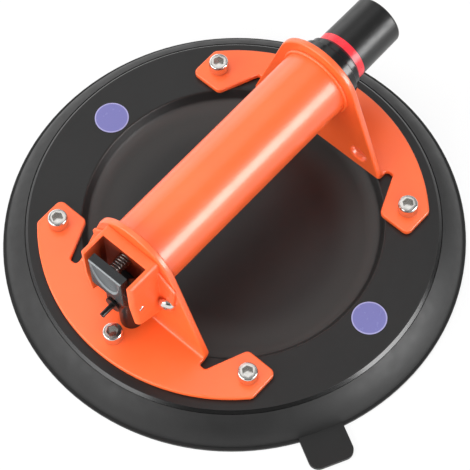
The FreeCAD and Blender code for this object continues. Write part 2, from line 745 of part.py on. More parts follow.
def make_pump_housing():
    """The barrel in the handle tube, its head at the release end and its collar at the knob end."""
    barrel = [
        ("barrel_inner", "barrel_start"),
        ("barrel_outer", "barrel_start"),
        ("barrel_outer", "collar_inner_end"),
        ("barrel_inner", "collar_inner_end"),
    ]
    keep(turned_solid("pump_barrel", barrel, **ALONG_HANDLE))
    collar = [
        ("plunger_radius + running_gap", "collar_inner_end"),
        ("barrel_outer", "collar_inner_end"),
        ("barrel_outer", "upright_outer"),
        ("flange_radius", "upright_outer"),
        ("flange_radius", "collar_step"),
        ("nose_radius", "collar_step"),
        ("nose_radius", "collar_end"),
        ("plunger_radius + running_gap", "collar_end"),
    ]
    body = keep(turned_solid("guide_collar", collar, **ALONG_HANDLE))
    rims = [("0", "flange_radius", "collar_step"), ("0", "nose_radius", "collar_end")]
    soften(body, "collar_bevel", rims, bevel=True)
    head = [
        ("0", "-upright_inner"),
        ("barrel_outer", "-upright_inner"),
        ("barrel_outer", "barrel_start"),
        ("barrel_inner - running_gap", "barrel_start"),
        ("barrel_inner - running_gap", "head_face"),
        ("0", "head_face"),
    ]
    body = keep(turned_solid("barrel_head", head, **ALONG_HANDLE))
    nipple_place = [("nipple_offset", "0", "nipple_diameter / 2")]
    nipple = circles(body, "nipple", "XY_Plane", nipple_place, height="-upright_inner")
    extrude(body, nipple, "bracket_sheet + nipple_reach", backwards=True)
    bore_place = [("nipple_offset", "0", "nipple_bore / 2")]
    bore = circles(body, "nipple_bore", "XY_Plane", bore_place, height="head_face")
    extrude(body, bore, "2 * upright_outer", removes=True)
    valve = [
        ("0", "head_face - check_stem_length"),
        ("nipple_bore / 2 - running_gap", "head_face - check_stem_length"),
        ("nipple_bore / 2 - running_gap", "head_face"),
        ("check_disc / 2", "head_face"),
        ("check_disc / 2", "head_face + check_disc_thickness / 2"),
        ("0", "head_face + check_disc_thickness"),
    ]
    keep(turned_solid("inlet_check_valve", valve, along_handle=True, base=("0", "0", "nipple_height")))


def make_plunger():
    """The pumped pieces: knob sleeve, red ring, piston with its seal and screw, and the return spring."""
    sleeve = [
        ("piston_screw_shank / 2 + running_gap", "piston_back"),
        ("plunger_radius", "piston_back"),
        ("plunger_radius", "ring_start"),
        ("ring_floor", "ring_start"),
        ("ring_floor", "ring_start + ring_width"),
        ("plunger_radius", "ring_start + ring_width"),
        ("plunger_radius - plunger_draft", "plunger_end"),
        ("0", "plunger_end"),
        ("0", "plunger_end - plunger_wall"),
        ("plunger_radius - plunger_wall", "plunger_end - plunger_wall"),
        ("plunger_radius - plunger_wall", "piston_back + plunger_web"),
        ("piston_screw_shank / 2 + running_gap", "piston_back + plunger_web"),
    ]
    knob = keep(turned_solid("plunger_knob", sleeve, **ALONG_HANDLE))
    soften(knob, "plunger_round", [("0", "plunger_radius - plunger_draft", "plunger_end")])
    band = [
        ("ring_floor + running_gap / 2", "ring_start + running_gap"),
        ("plunger_radius", "ring_start + running_gap"),
        ("plunger_radius", "ring_start + ring_width - running_gap"),
        ("ring_floor + running_gap / 2", "ring_start + ring_width - running_gap"),
    ]
    keep(turned_solid("indicator_ring", band, **ALONG_HANDLE))
    piston = [
        ("piston_screw_shank / 2 + running_gap", "piston_front + piston_screw_head_height"),
        ("piston_screw_head / 2 + piston_gap", "piston_front + piston_screw_head_height"),
        ("piston_screw_head / 2 + piston_gap", "piston_front"),
        ("piston_radius", "piston_front"),
        ("piston_radius", "seal_centre - piston_groove_half"),
        ("piston_groove", "seal_centre - piston_groove_half"),
        ("piston_groove", "seal_centre + piston_groove_half"),
        ("piston_radius", "seal_centre + piston_groove_half"),
        ("piston_radius", "piston_back"),
        ("piston_screw_shank / 2 + running_gap", "piston_back"),
    ]
    keep(turned_solid("piston", piston, **ALONG_HANDLE))
    seal_place = ("seal_centre", "0", "handle_height")
    make_o_ring("piston_seal", "piston_seal_major", "piston_seal_section", seal_place, 90)
    screw = [
        ("0", "piston_front"),
        ("piston_screw_head / 2", "piston_front"),
        ("piston_screw_head / 2", "piston_front + piston_screw_head_height"),
        ("piston_screw_shank / 2", "piston_front + piston_screw_head_height"),
        ("piston_screw_shank / 2", "piston_front + piston_screw_length"),
        ("0", "piston_front + piston_screw_length"),
    ]
    keep(turned_solid("piston_screw", screw, **ALONG_HANDLE))
    coil("return_spring", "return_spring_radius", "return_spring_wire", "return_spring_turns",
         "head_face + rest_gap", "piston_front - head_face - 2 * rest_gap", "handle_height")


def make_o_ring(label, major, section, base, tilt):
    """Rubber ring of round section, its axis upright or along the handle."""
    ring = doc.addObject("Part::Torus", label)
    ring.Label = label
    ring.Placement = Placement(Vector(), Rotation(Vector(0, 1, 0), tilt))
    bind(ring, "Radius1", major)
    bind(ring, "Radius2", f"{section} / 2")
    for axis, text in zip("xyz", base):
        bind(ring, f"Placement.Base.{axis}", text)
    return keep(ring)


def make_release_housing():
    """Moulded housing: two cheeks and a thick back on the upright, open in front and on top."""
    body = keep(new_body("release_housing"))
    side = [
        ("-upright_outer", "housing_rear_foot"),
        ("-upright_outer", "housing_top"),
        ("-housing_reach", "housing_top"),
        ("-housing_reach", "housing_break"),
        ("-housing_reach + housing_setback", "housing_front_foot"),
    ]
    extrude(body, outline(body, "side", "XZ_Plane", side), "2 * housing_half", both_ways=True)
    edges = []
    for sign in ("", "-"):
        edges.append(("-(upright_outer + housing_reach) / 2", f"{sign}housing_half", "housing_top"))
        edges.append(("-housing_reach", f"{sign}housing_half", "(housing_break + housing_top) / 2"))
    soften(body, "housing_round", edges)
    hollow = [
        ("-housing_back_face", "0"),
        ("-housing_back_face", "2 * housing_top"),
        ("-2 * housing_reach", "2 * housing_top"),
        ("-2 * housing_reach", "0"),
    ]
    hollow_sketch = outline(body, "hollow", "XZ_Plane", hollow)
    extrude(body, hollow_sketch, "2 * housing_inner_half", removes=True, both_ways=True)
    for sign in ("", "-"):
        flange = [
            (f"{sign}flange_root", "flange_foot_height"),
            (f"{sign}flange_foot_half", "flange_foot_height"),
            (f"{sign}flange_shoulder_half", "flange_shoulder_height"),
            (f"{sign}flange_root", "flange_root_height"),
        ]
        name = "flange_left" if sign else "flange_right"
        flange_sketch = outline(body, name, "YZ_Plane", flange, height="-upright_outer")
        extrude(body, flange_sketch, "flange_thickness", backwards=True)
        mid_flange = "-upright_outer - flange_thickness / 2"
        soften(body, "flange_round", [(mid_flange, *corner) for corner in flange[1:3]])
    window = [
        ("-valve_window_half", "0"),
        ("valve_window_half", "0"),
        ("valve_window_half", "valve_window_top"),
        ("-valve_window_half", "valve_window_top"),
    ]
    window_sketch = outline(body, "valve_window", "YZ_Plane", window, height="-upright_outer")
    extrude(body, window_sketch, "housing_back", removes=True)
    pin_place = [("-pin_x", "pin_height", "pin_diameter / 2 + running_gap")]
    pin_hole = circles(body, "pin_hole", "XZ_Plane", pin_place)
    extrude(body, pin_hole, "4 * housing_half", removes=True, both_ways=True)
    seat_radius = "lever_spring_radius + lever_spring_wire / 2 + rest_gap"
    seat_place = [("0", "lever_spring_height", seat_radius)]
    seat = circles(body, "spring_seat", "YZ_Plane", seat_place, height="-housing_back_face")
    extrude(body, seat, "spring_seat_depth", removes=True, backwards=True)
    hole_radius = "housing_screw_shank / 2 + screw_clearance"
    holes = [(f"{sign}housing_screw_offset", "housing_screw_height", hole_radius) for sign in ("", "-")]
    hole_sketch = circles(body, "screw_holes", "YZ_Plane", holes, height="-upright_outer")
    extrude(body, hole_sketch, "flange_thickness", removes=True)
    screw = [
        ("0", "-flange_thickness - bracket_sheet"),
        ("housing_screw_shank / 2", "-flange_thickness - bracket_sheet"),
        ("housing_screw_shank / 2", "0"),
        ("housing_screw_head / 2", "0"),
        ("housing_screw_head / 2 - housing_screw_head_height / 4", "housing_screw_head_height"),
        ("0", "housing_screw_head_height"),
    ]
    master = turned_solid("housing_screw", screw)
    places = [("-flange_face", f"{sign}housing_screw_offset", "housing_screw_height") for sign in ("", "-")]
    group("housing_screws", master, places, turn_axis=Vector(0, 1, 0), angles=(-90,))


def make_release_lever():
    """Thumb lever with its hub on the pin, the thumb dish in front and the fork below."""
    pin = new_body("lever_pin")
    pin_circle = circles(pin, "section", "XZ_Plane", [("-pin_x", "pin_height", "pin_diameter / 2")])
    extrude(pin, pin_circle, "2 * (housing_half + pin_proud)", both_ways=True)
    keep(pin)
    body = keep(new_body("release_lever"))
    plate = [
        ("-lever_back", "pin_height"),
        ("-lever_back", "lever_top"),
        ("-lever_front", "lever_top"),
        ("-lever_front", "pin_height + lever_hub_radius"),
        ("-pin_x - lever_hub_radius", "pin_height"),
    ]
    extrude(body, outline(body, "plate", "XZ_Plane", plate), "2 * lever_half", both_ways=True)
    edges = [("-lever_front", f"{sign}lever_half", "(pin_height + lever_top) / 2") for sign in ("", "-")]
    edges.append(("-lever_front", "0", "lever_top"))
    soften(body, "lever_edge_round", edges)
    hub = circles(body, "hub", "XZ_Plane", [("-pin_x", "pin_height", "lever_hub_radius")])
    extrude(body, hub, "2 * lever_half", both_ways=True)
    dish = body.newObject("PartDesign::SubtractiveEllipsoid", "thumb_dish")
    floor_plane = next(item for item in body.Origin.OriginFeatures if item.Role == "XY_Plane")
    dish.AttachmentSupport = (floor_plane, [""])
    dish.MapMode = "FlatFace"
    dish.Angle1, dish.Angle2, dish.Angle3 = -90, 0, 360
    bind(dish, "Radius1", "thumb_dish_height")
    bind(dish, "Radius2", "thumb_dish_depth")
    bind(dish, "Radius3", "thumb_dish_half")
    bind(dish, "AttachmentOffset.Base.x", "-lever_front")
    bind(dish, "AttachmentOffset.Base.z", "lever_top - thumb_dish_rim")
    finish_feature(body, dish, removes=True)
    legs = circles(body, "fork_nose", "XZ_Plane", [("-fork_nose_x", "valve_height", "fork_nose_radius")])
    extrude(body, legs, "2 * fork_half", both_ways=True)
    leg = [
        ("-fork_nose_x - fork_nose_radius", "valve_height"),
        ("-fork_nose_x + fork_nose_radius", "valve_height"),
        ("-fork_nose_x + fork_nose_radius", "pin_height"),
        ("-fork_nose_x - fork_nose_radius", "pin_height"),
    ]
    extrude(body, outline(body, "fork_legs", "XZ_Plane", leg), "2 * fork_half", both_ways=True)
    slot = [
        ("-fork_nose_x - lever_hub_radius", "0"),
        ("-fork_nose_x + lever_hub_radius", "0"),
        ("-fork_nose_x + lever_hub_radius", "pin_height - lever_hub_radius"),
        ("-fork_nose_x - lever_hub_radius", "pin_height - lever_hub_radius"),
    ]
    slot_sketch = outline(body, "fork_slot", "XZ_Plane", slot)
    extrude(body, slot_sketch, "2 * fork_slot_half", removes=True, both_ways=True)
    bore_place = [("-pin_x", "pin_height", "pin_diameter / 2 + running_gap")]
    bore = circles(body, "pin_bore", "XZ_Plane", bore_place)
    extrude(body, bore, "4 * lever_half", removes=True, both_ways=True)
    coil("lever_spring", "lever_spring_radius", "lever_spring_wire", "lever_spring_turns",
         "-lever_back + rest_gap", "lever_back - lever_spring_start - 2 * rest_gap", "lever_spring_height")


def make_valve():
    """Valve body on the foot, with the stem and seal that the lever's fork pulls."""
    body = keep(new_body("valve_body"))
    column = circles(body, "column", "XY_Plane", [("-valve_x", "0", "valve_radius")], height="foot_top")
    extrude(body, column, "valve_shoulder - foot_top")
    neck = circles(body, "neck", "XY_Plane", [("-neck_x", "0", "valve_neck_radius")],
                   height="valve_height + valve_seat_radius")
    extrude(body, neck, "valve_neck_top - valve_height - valve_seat_radius")
    spigot = circles(body, "spigot", "XY_Plane", [("-valve_x", "0", "spigot_radius")], height="foot_top")
    extrude(body, spigot, "foot_top - filter_top", backwards=True)
    seat_place = [("0", "valve_height", "valve_seat_radius")]
    seat = circles(body, "seat", "YZ_Plane", seat_place, height="-valve_x")
    extrude(body, seat, "valve_seat_face - valve_x", backwards=True)
    passage = circles(body, "passage", "XY_Plane", [("-valve_passage_x", "0", "valve_passage / 2")])
    extrude(body, passage, "nipple_height + nipple_diameter / 2", removes=True, backwards=True)
    pocket = circles(body, "seat_pocket", "YZ_Plane", [("0", "valve_height", "valve_pocket_radius")],
                     height="-valve_seat_face")
    extrude(body, pocket, "valve_seat_depth", removes=True, backwards=True)
    bore = circles(body, "seat_bore", "YZ_Plane", [("0", "valve_height", "valve_seat_bore / 2")],
                   height="-valve_seat_face")
    extrude(body, bore, "valve_seat_face - valve_passage_x", removes=True, backwards=True)
    socket_place = [("0", "nipple_height", "nipple_diameter / 2 + running_gap")]
    socket = circles(body, "nipple_socket", "YZ_Plane", socket_place, height="-upright_outer")
    extrude(body, socket, "socket_depth", removes=True)
    stem = [
        ("0", "-stem_front"),
        ("stem_diameter / 2", "-stem_front"),
        ("stem_diameter / 2", "-stem_flange_inner - stem_flange_thickness"),
        ("stem_flange / 2", "-stem_flange_inner - stem_flange_thickness"),
        ("stem_flange / 2", "-stem_flange_inner"),
        ("stem_diameter / 2", "-stem_flange_inner"),
        ("stem_diameter / 2", "stem_tail - seat_floor"),
        ("0", "stem_tail - seat_floor"),
    ]
    valve_line = {"along_handle": True, "base": ("0", "0", "valve_height")}
    keep(turned_solid("valve_stem", stem, **valve_line))
    disc = [
        ("stem_diameter / 2 + running_gap", "seal_face - seal_disc_thickness"),
        ("seal_disc / 2", "seal_face - seal_disc_thickness"),
        ("seal_disc / 2", "seal_face"),
        ("stem_diameter / 2 + running_gap", "seal_face"),
    ]
    keep(turned_solid("valve_seal", disc, **valve_line))
    ring_height = "plate_top - port_ring_section / 2"
    make_o_ring("port_seal_ring", "port_ring_major", "port_ring_section", ("-valve_x", "0", ring_height), 0)
    felt = new_body("port_filter")
    felt_place = [("-valve_x", "0", "filter_diameter / 2 - spigot_gap")]
    felt_sketch = circles(felt, "disc", "XY_Plane", felt_place, height="dish_bottom")
    extrude(felt, felt_sketch, "filter_thickness - spigot_gap")
    keep(felt)


def make_stickers():
    disc = [
        ("0", "0"),
        ("sticker_diameter / 2", "0"),
        ("sticker_diameter / 2", "sticker_thickness"),
        ("0", "sticker_thickness"),
    ]
    places = [("sticker_shift", f"{sign}sticker_circle", "plate_top") for sign in ("", "-")]
    group("blue_discs", turned_solid("blue_disc", disc), places)


make_rubber_pad()
make_base_plate()
make_brackets()
make_handle()
make_foot_screws()
make_pump_housing()
make_plunger()
make_release_housing()
make_release_lever()
make_valve()
make_stickers()
doc.recompute()

for item in doc.Objects:
    if {"Invalid", "Error"} & set(item.State):
        raise RuntimeError(f"{item.Name} failed: {item.State}")
for item in sub_parts:
    if item.Shape.isNull() or not item.Shape.isValid():
        raise RuntimeError(f"{item.Label} has no valid shape")

os.makedirs("parts", exist_ok=True)
for item in sub_parts:
    item.Shape.exportStep(f"parts/{item.Label}.step")
    print(f"{item.Label}: {len(item.Shape.Solids)} solids, {item.Shape.Volume / 1000:.2f} cm3")
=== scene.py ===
import json
import math

import bmesh
import bpy
from mathutils import Matrix, Vector

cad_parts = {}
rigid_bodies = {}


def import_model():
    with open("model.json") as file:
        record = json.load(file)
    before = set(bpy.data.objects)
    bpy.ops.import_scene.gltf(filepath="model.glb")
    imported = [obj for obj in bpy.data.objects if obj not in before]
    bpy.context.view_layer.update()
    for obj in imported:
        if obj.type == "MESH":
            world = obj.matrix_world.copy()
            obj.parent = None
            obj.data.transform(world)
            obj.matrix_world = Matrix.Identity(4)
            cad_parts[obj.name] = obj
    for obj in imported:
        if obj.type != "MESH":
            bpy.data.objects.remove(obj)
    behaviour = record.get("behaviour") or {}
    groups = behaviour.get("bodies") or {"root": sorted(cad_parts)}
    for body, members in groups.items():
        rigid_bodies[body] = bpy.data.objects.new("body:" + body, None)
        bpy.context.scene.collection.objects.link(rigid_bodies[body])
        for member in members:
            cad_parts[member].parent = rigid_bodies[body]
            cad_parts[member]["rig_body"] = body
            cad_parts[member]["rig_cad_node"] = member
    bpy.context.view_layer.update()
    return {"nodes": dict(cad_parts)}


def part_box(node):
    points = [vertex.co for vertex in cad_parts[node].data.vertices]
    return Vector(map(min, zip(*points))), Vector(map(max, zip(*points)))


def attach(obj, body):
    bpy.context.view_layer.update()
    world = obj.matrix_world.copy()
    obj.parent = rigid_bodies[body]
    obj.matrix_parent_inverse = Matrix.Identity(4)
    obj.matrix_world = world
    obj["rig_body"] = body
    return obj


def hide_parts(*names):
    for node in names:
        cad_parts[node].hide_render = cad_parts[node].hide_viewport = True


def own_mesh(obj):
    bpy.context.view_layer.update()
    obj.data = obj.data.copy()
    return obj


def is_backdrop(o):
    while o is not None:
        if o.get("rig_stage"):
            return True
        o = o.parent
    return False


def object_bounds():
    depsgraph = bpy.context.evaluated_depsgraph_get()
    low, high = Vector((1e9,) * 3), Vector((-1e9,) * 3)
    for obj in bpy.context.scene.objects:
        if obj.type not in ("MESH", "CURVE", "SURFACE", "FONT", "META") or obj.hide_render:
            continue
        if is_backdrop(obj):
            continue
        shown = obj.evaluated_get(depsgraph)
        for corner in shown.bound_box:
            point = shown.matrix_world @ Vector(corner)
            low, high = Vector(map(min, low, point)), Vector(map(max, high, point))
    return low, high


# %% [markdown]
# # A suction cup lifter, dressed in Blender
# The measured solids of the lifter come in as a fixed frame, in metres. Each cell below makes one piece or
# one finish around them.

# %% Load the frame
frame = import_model()
nodes = frame["nodes"]
bpy.ops.object.select_all(action="DESELECT")

# %% [markdown]
# ## Camera
# The photograph looks down on the lifter from the release lever's side with a long lens. The camera's
# place was found by fitting the round plate, the tube and the brackets to their outlines. It stands on a
# line from the target, given by an azimuth and an elevation, and it is rolled a little.

# %% Camera
MM = 0.001
CAMERA_AZIMUTH = math.radians(-45.37)
CAMERA_ELEVATION = math.radians(62.85)
CAMERA_ROLL = math.radians(-3.26)
CAMERA_DISTANCE = 948.94 * MM
CAMERA_TARGET = Vector((0.36, -0.25, 0.0)) * MM
NEAREST_SEEN = 10 * MM
# A lens and a sensor are given in millimetres.
CAMERA_LENS = 159.87
SENSOR_WIDTH = 36.0

camera_back = Vector((
    math.sin(CAMERA_AZIMUTH) * math.cos(CAMERA_ELEVATION),
    -math.cos(CAMERA_AZIMUTH) * math.cos(CAMERA_ELEVATION),
    math.sin(CAMERA_ELEVATION),
))
level_right = Vector((math.cos(CAMERA_AZIMUTH), math.sin(CAMERA_AZIMUTH), 0.0))
level_up = camera_back.cross(level_right)
camera_right = level_right * math.cos(CAMERA_ROLL) + level_up * math.sin(CAMERA_ROLL)
camera_up = camera_back.cross(camera_right)
bpy.ops.object.camera_add(location=CAMERA_TARGET + camera_back * CAMERA_DISTANCE)
camera = bpy.context.object
camera.name = "photo_camera"
camera.rotation_euler = Matrix((camera_right, camera_up, camera_back)).transposed().to_euler()
camera.data.lens = CAMERA_LENS
camera.data.sensor_width = SENSOR_WIDTH
camera.data.clip_start = NEAREST_SEEN
camera.data.dof.use_dof = False
bpy.context.scene.camera = camera
print("camera at mm", [round(value * 1000, 1) for value in camera.location])

# %% [markdown]
# ## Light and floor
# The lifter was shot in a white tent, whose walls are bright near the floor and dimmer overhead. That is
# why the sides of the rubber skirt look grey while the flat plate stays black. The floor is white paper.
# To the eye it glows by itself, as an overexposed floor does, and keeps only a faint share of the shadow.

# %% Floor and world
scene = bpy.context.scene
scene.view_settings.view_transform = "Standard"


def add_node(tree, kind, inputs=None, **settings):
    """One shader node: settings set its properties, and inputs set or link its sockets."""
    node = tree.nodes.new(kind)
    for name, value in settings.items():
        setattr(node, name, value)
    for name, value in (inputs or {}).items():
        if isinstance(value, bpy.types.NodeSocket):
            tree.links.new(value, node.inputs[name])
        else:
            node.inputs[name].default_value = value
    return node


def seen_directly(tree):
    """Socket that is 1 for rays from the camera, from gloss and through glass, and 0 for light."""
    path = add_node(tree, "ShaderNodeLightPath")
    seen = add_node(tree, "ShaderNodeMath",
                    {0: path.outputs["Is Camera Ray"], 1: path.outputs["Is Glossy Ray"]}, operation="MAXIMUM")
    return add_node(tree, "ShaderNodeMath", {0: seen.outputs[0], 1: path.outputs["Is Transmission Ray"]},
                    operation="MAXIMUM").outputs[0]


WORLD_LIGHT = 0.48
TENT_WALL = 0.75
TENT_ZENITH = 0.32
TENT_WALL_TOP = 0.08
TENT_ROOF_START = 0.42
WHITE = (1, 1, 1, 1)
FLOOR_SIZE = 6.0
FLOOR_DROP = 0.2 * MM
FLOOR_WHITE = (0.88, 0.88, 0.88, 1.0)
FLOOR_GLOW_SHARE = 0.82

world = bpy.data.worlds.new("white_tent")
scene.world = world
world.use_nodes = True
world.node_tree.nodes.clear()
# In a world, the Generated output is the direction of the ray, so its Z is 0 at the horizon.
ray_way = add_node(world.node_tree, "ShaderNodeTexCoord")
ray_height = add_node(world.node_tree, "ShaderNodeSeparateXYZ", {0: ray_way.outputs["Generated"]})
tent_seen = add_node(world.node_tree, "ShaderNodeMapRange",
                     {"Value": ray_height.outputs["Z"], "From Min": TENT_WALL_TOP,
                      "From Max": TENT_ROOF_START, "To Min": TENT_WALL, "To Max": TENT_ZENITH},
                     interpolation_type="SMOOTHSTEP")
tent_level = add_node(world.node_tree, "ShaderNodeMapRange",
                      {"Value": seen_directly(world.node_tree), "To Min": WORLD_LIGHT,
                       "To Max": tent_seen.outputs[0]})
tent = add_node(world.node_tree, "ShaderNodeBackground", {"Color": WHITE, "Strength": tent_level.outputs[0]})
add_node(world.node_tree, "ShaderNodeOutputWorld", {"Surface": tent.outputs[0]})

bpy.ops.mesh.primitive_plane_add(size=FLOOR_SIZE, location=(0, 0, -FLOOR_DROP))
floor = bpy.context.object
floor.name = "studio_floor"
floor_paper = bpy.data.materials.new("white_paper_floor")
floor_paper.use_nodes = True
paper_tree = floor_paper.node_tree
paper_tree.nodes.clear()
paper = add_node(paper_tree, "ShaderNodeBsdfDiffuse", {"Color": FLOOR_WHITE})
glow = add_node(paper_tree, "ShaderNodeEmission", {"Color": WHITE, "Strength": 1.0})
glow_share = add_node(paper_tree, "ShaderNodeMath", {0: seen_directly(paper_tree), 1: FLOOR_GLOW_SHARE},
                      operation="MULTIPLY")
paper_mix = add_node(paper_tree, "ShaderNodeMixShader",
                     {0: glow_share.outputs[0], 1: paper.outputs[0], 2: glow.outputs[0]})
add_node(paper_tree, "ShaderNodeOutputMaterial", {"Surface": paper_mix.outputs[0]})
floor.data.materials.append(floor_paper)
floor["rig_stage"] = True
print("floor of", FLOOR_SIZE, "m in a tent, world level", WORLD_LIGHT)

# %% [markdown]
# Six soft lamps look at the lifter's middle. The overhead one and the card behind the camera only give light,
# so no white patch of theirs lies on the gloss. The left and front softboxes also show as reflections, and
# the front one draws the pale line along the plate's sloped edge. The far card and the right strip only show
# as reflections: the strip is the pale line along the tube.

# %% Lamps
LAMP_AIM = Vector((0, 0, 40 * MM))
# Each lamp has a direction, then distance, width and height in metres, then power in watts.
LAMPS = {
    "overhead_softbox": ((-0.05, 0.25, 1.0), 1.3, 1.0, 1.0, 9.0),
    "fill_card": ((-0.40, -0.80, 0.45), 1.4, 2.0, 1.0, 12.0),
    "left_softbox": ((0.15, 0.85, 0.30), 1.3, 1.6, 0.9, 6.0),
    "front_softbox": ((-0.85, 0.36, 0.42), 1.3, 1.4, 0.66, 13.0),
    "far_card": ((0.325, 0.32, 0.89), 1.5, 0.9, 0.9, 2.0),
    "right_strip": ((0.325, -0.88, 0.34), 1.1, 0.7, 0.46, 13.2),
}
ONLY_LIGHT = ("overhead_softbox", "fill_card")
ONLY_REFLECTION = ("far_card", "right_strip")

for name, (direction, distance, width, height, power) in LAMPS.items():
    toward = Vector(direction).normalized()
    bpy.ops.object.light_add(type="AREA", location=LAMP_AIM + toward * distance)
    lamp = bpy.context.object
    lamp.name = name
    lamp.rotation_euler = toward.to_track_quat("Z", "Y").to_euler()
    lamp.data.shape = "RECTANGLE"
    lamp.data.size = width
    lamp.data.size_y = height
    lamp.data.energy = power
    lamp.visible_glossy = name not in ONLY_LIGHT
    lamp.visible_diffuse = name not in ONLY_REFLECTION
print(len(LAMPS), "lamps")

# %% [markdown]
# Two black flags stand beside the camera and on the right. A photographer puts them there to give black
# rubber and plastic dark sides with an edge, where a tent alone would turn them grey. They only show in
# reflections.

# %% Flags
FLAG_BLACK = (0.02, 0.02, 0.02, 1)
# Each flag has a direction along the floor, then distance, width and height in metres.
FLAGS = {
    "right_flag": ((0.84, -0.545, 0), 1.0, 0.55, 0.6),
    "camera_flag": ((-0.62, -0.62, 0), 1.5, 1.6, 1.0),
}

flag_cloth = bpy.data.materials.new("black_flag_cloth")
flag_cloth.use_nodes = True
flag_cloth.node_tree.nodes.clear()
cloth = add_node(flag_cloth.node_tree, "ShaderNodeBsdfDiffuse", {"Color": FLAG_BLACK})
add_node(flag_cloth.node_tree, "ShaderNodeOutputMaterial", {"Surface": cloth.outputs[0]})
for name, (direction, distance, width, height) in FLAGS.items():
    toward = Vector(direction).normalized()
    bpy.ops.mesh.primitive_plane_add(size=1, location=toward * distance + Vector((0, 0, height / 2)))
    flag = bpy.context.object
    flag.name = name
    flag.scale = (width, height, 1)
    flag.rotation_euler = toward.to_track_quat("Z", "Y").to_euler()
    flag.data.materials.append(flag_cloth)
    flag.visible_camera = False
    flag.visible_diffuse = False
    flag.visible_shadow = False
    flag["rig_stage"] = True
print(len(FLAGS), "flags")

# %% [markdown]
# ## Finishes
# Every finish is procedural and reads Object coordinates, which are metres in the lifter's own frame, so a
# pattern keeps its real size. Colours are written as the hex values that a paint chart gives.

# %% Helpers for finishes
# Most of a noise lies between these two values.
NOISE_LOW = 0.3
NOISE_HIGH = 0.7


def linear(hex_colour):
    """Linear colour of an sRGB hex value."""
    channels = [int(hex_colour[place:place + 2], 16) / 255 for place in (0, 2, 4)]
    return tuple(c / 12.92 if c <= 0.04045 else ((c + 0.055) / 1.055) ** 2.4 for c in channels) + (1.0,)


def new_finish(name, **surface):
    """Material with one Principled shader; surface gives its sockets."""
    finish = bpy.data.materials.new(name)
    finish.use_nodes = True
    tree = finish.node_tree
    tree.nodes.clear()
    sockets = {key.replace("_", " "): value for key, value in surface.items()}
    shader = add_node(tree, "ShaderNodeBsdfPrincipled", sockets)
    add_node(tree, "ShaderNodeOutputMaterial", {"Surface": shader.outputs["BSDF"]})
    return finish, tree, shader


def grain(tree, size_mm, detail=2.0, stretch=(1, 1, 1)):
    """Noise socket whose lumps are about size_mm across on the real surface."""
    place = add_node(tree, "ShaderNodeTexCoord")
    mapped = add_node(tree, "ShaderNodeMapping", {"Vector": place.outputs["Object"], "Scale": stretch})
    noise = add_node(tree, "ShaderNodeTexNoise",
                     {"Vector": mapped.outputs[0], "Scale": 1.0 / (size_mm * MM), "Detail": detail,
                      "Roughness": 0.5})
    return noise.outputs["Fac"]


def drifting(tree, size_mm, low, high, detail=2.0, stretch=(1, 1, 1)):
    """Value that drifts from low to high in patches of about size_mm."""
    value = add_node(tree, "ShaderNodeMapRange",
                     {"Value": grain(tree, size_mm, detail, stretch), "From Min": NOISE_LOW,
                      "From Max": NOISE_HIGH, "To Min": low, "To Max": high})
    return value.outputs[0]


def mottled(tree, size_mm, first, second, detail=2.0):
    """Colour that drifts between two hex tones in patches of about size_mm."""
    patches = drifting(tree, size_mm, 0.0, 1.0, detail)
    colour = add_node(tree, "ShaderNodeMix", {"Factor": patches, "A": linear(first), "B": linear(second)},
                      data_type="RGBA")
    return colour.outputs["Result"]


def raise_grain(tree, shader, size_mm, height_mm, strength, detail=2.0, stretch=(1, 1, 1)):
    """Grain that stands up from a shader's surface by a real height."""
    skin = add_node(tree, "ShaderNodeBump",
                    {"Height": grain(tree, size_mm, detail, stretch), "Distance": height_mm * MM,
                     "Strength": strength})
    tree.links.new(skin.outputs[0], shader.inputs["Normal"])


print("mid grey 808080 is", round(linear("808080")[0], 3), "in linear light")

# %% [markdown]
# ### Orange enamel
# The brackets, the tube and its welds are steel under baked powder enamel. It is even and satin, so a lamp
# lies on it as a soft pale band, and it has the faint orange-peel skin of powder that has flowed.

# %% Orange enamel
enamel, tree, shader = new_finish("orange_powder_enamel_on_steel", IOR=1.5, Coat_Weight=0.5,
                                  Coat_Roughness=0.2)
tree.links.new(mottled(tree, 38, "FA6228", "FC682E"), shader.inputs["Base Color"])
tree.links.new(drifting(tree, 7, 0.36, 0.44), shader.inputs["Roughness"])
raise_grain(tree, shader, 1.1, 0.012, 0.5, 1.0)
print(enamel.name, len(tree.nodes), "nodes")

# %% [markdown]
# ### Orange nylon
# The release housing is moulded in a matching nylon, a little flatter and with a fine spark texture. The
# pocket behind the lever is painted darker as painted shade, most of all at its back.

# %% Orange nylon
POCKET_FRONT = -75.5 * MM
POCKET_BACK = -67.0 * MM
POCKET_HALF = 12.2 * MM
POCKET_TOP = 79.2 * MM
# Spark texture is about 0.1 mm wide, which is too fine to show, so here and on the plate it is coarser.
NYLON_SPARK = 0.5

moulded_orange, tree, shader = new_finish("orange_moulded_nylon", IOR=1.53)
plain_tone = mottled(tree, 16, "FA6027", "FC662C")
place = add_node(tree, "ShaderNodeTexCoord")
split = add_node(tree, "ShaderNodeSeparateXYZ", {0: place.outputs["Object"]})
depth = add_node(tree, "ShaderNodeMapRange",
                 {"Value": split.outputs["X"], "From Min": POCKET_FRONT, "From Max": POCKET_BACK})
aside = add_node(tree, "ShaderNodeMath", {0: split.outputs["Y"]}, operation="ABSOLUTE")
between = add_node(tree, "ShaderNodeMath", {0: aside.outputs[0], 1: POCKET_HALF}, operation="LESS_THAN")
below = add_node(tree, "ShaderNodeMath", {0: split.outputs["Z"], 1: POCKET_TOP}, operation="LESS_THAN")
inside = add_node(tree, "ShaderNodeMath", {0: between.outputs[0], 1: below.outputs[0]}, operation="MULTIPLY")
# Painted shade: the pocket behind the lever is painted darker, most of all at its back.
pocket_shade = add_node(tree, "ShaderNodeMath", {0: inside.outputs[0], 1: depth.outputs[0]}, operation="MULTIPLY")
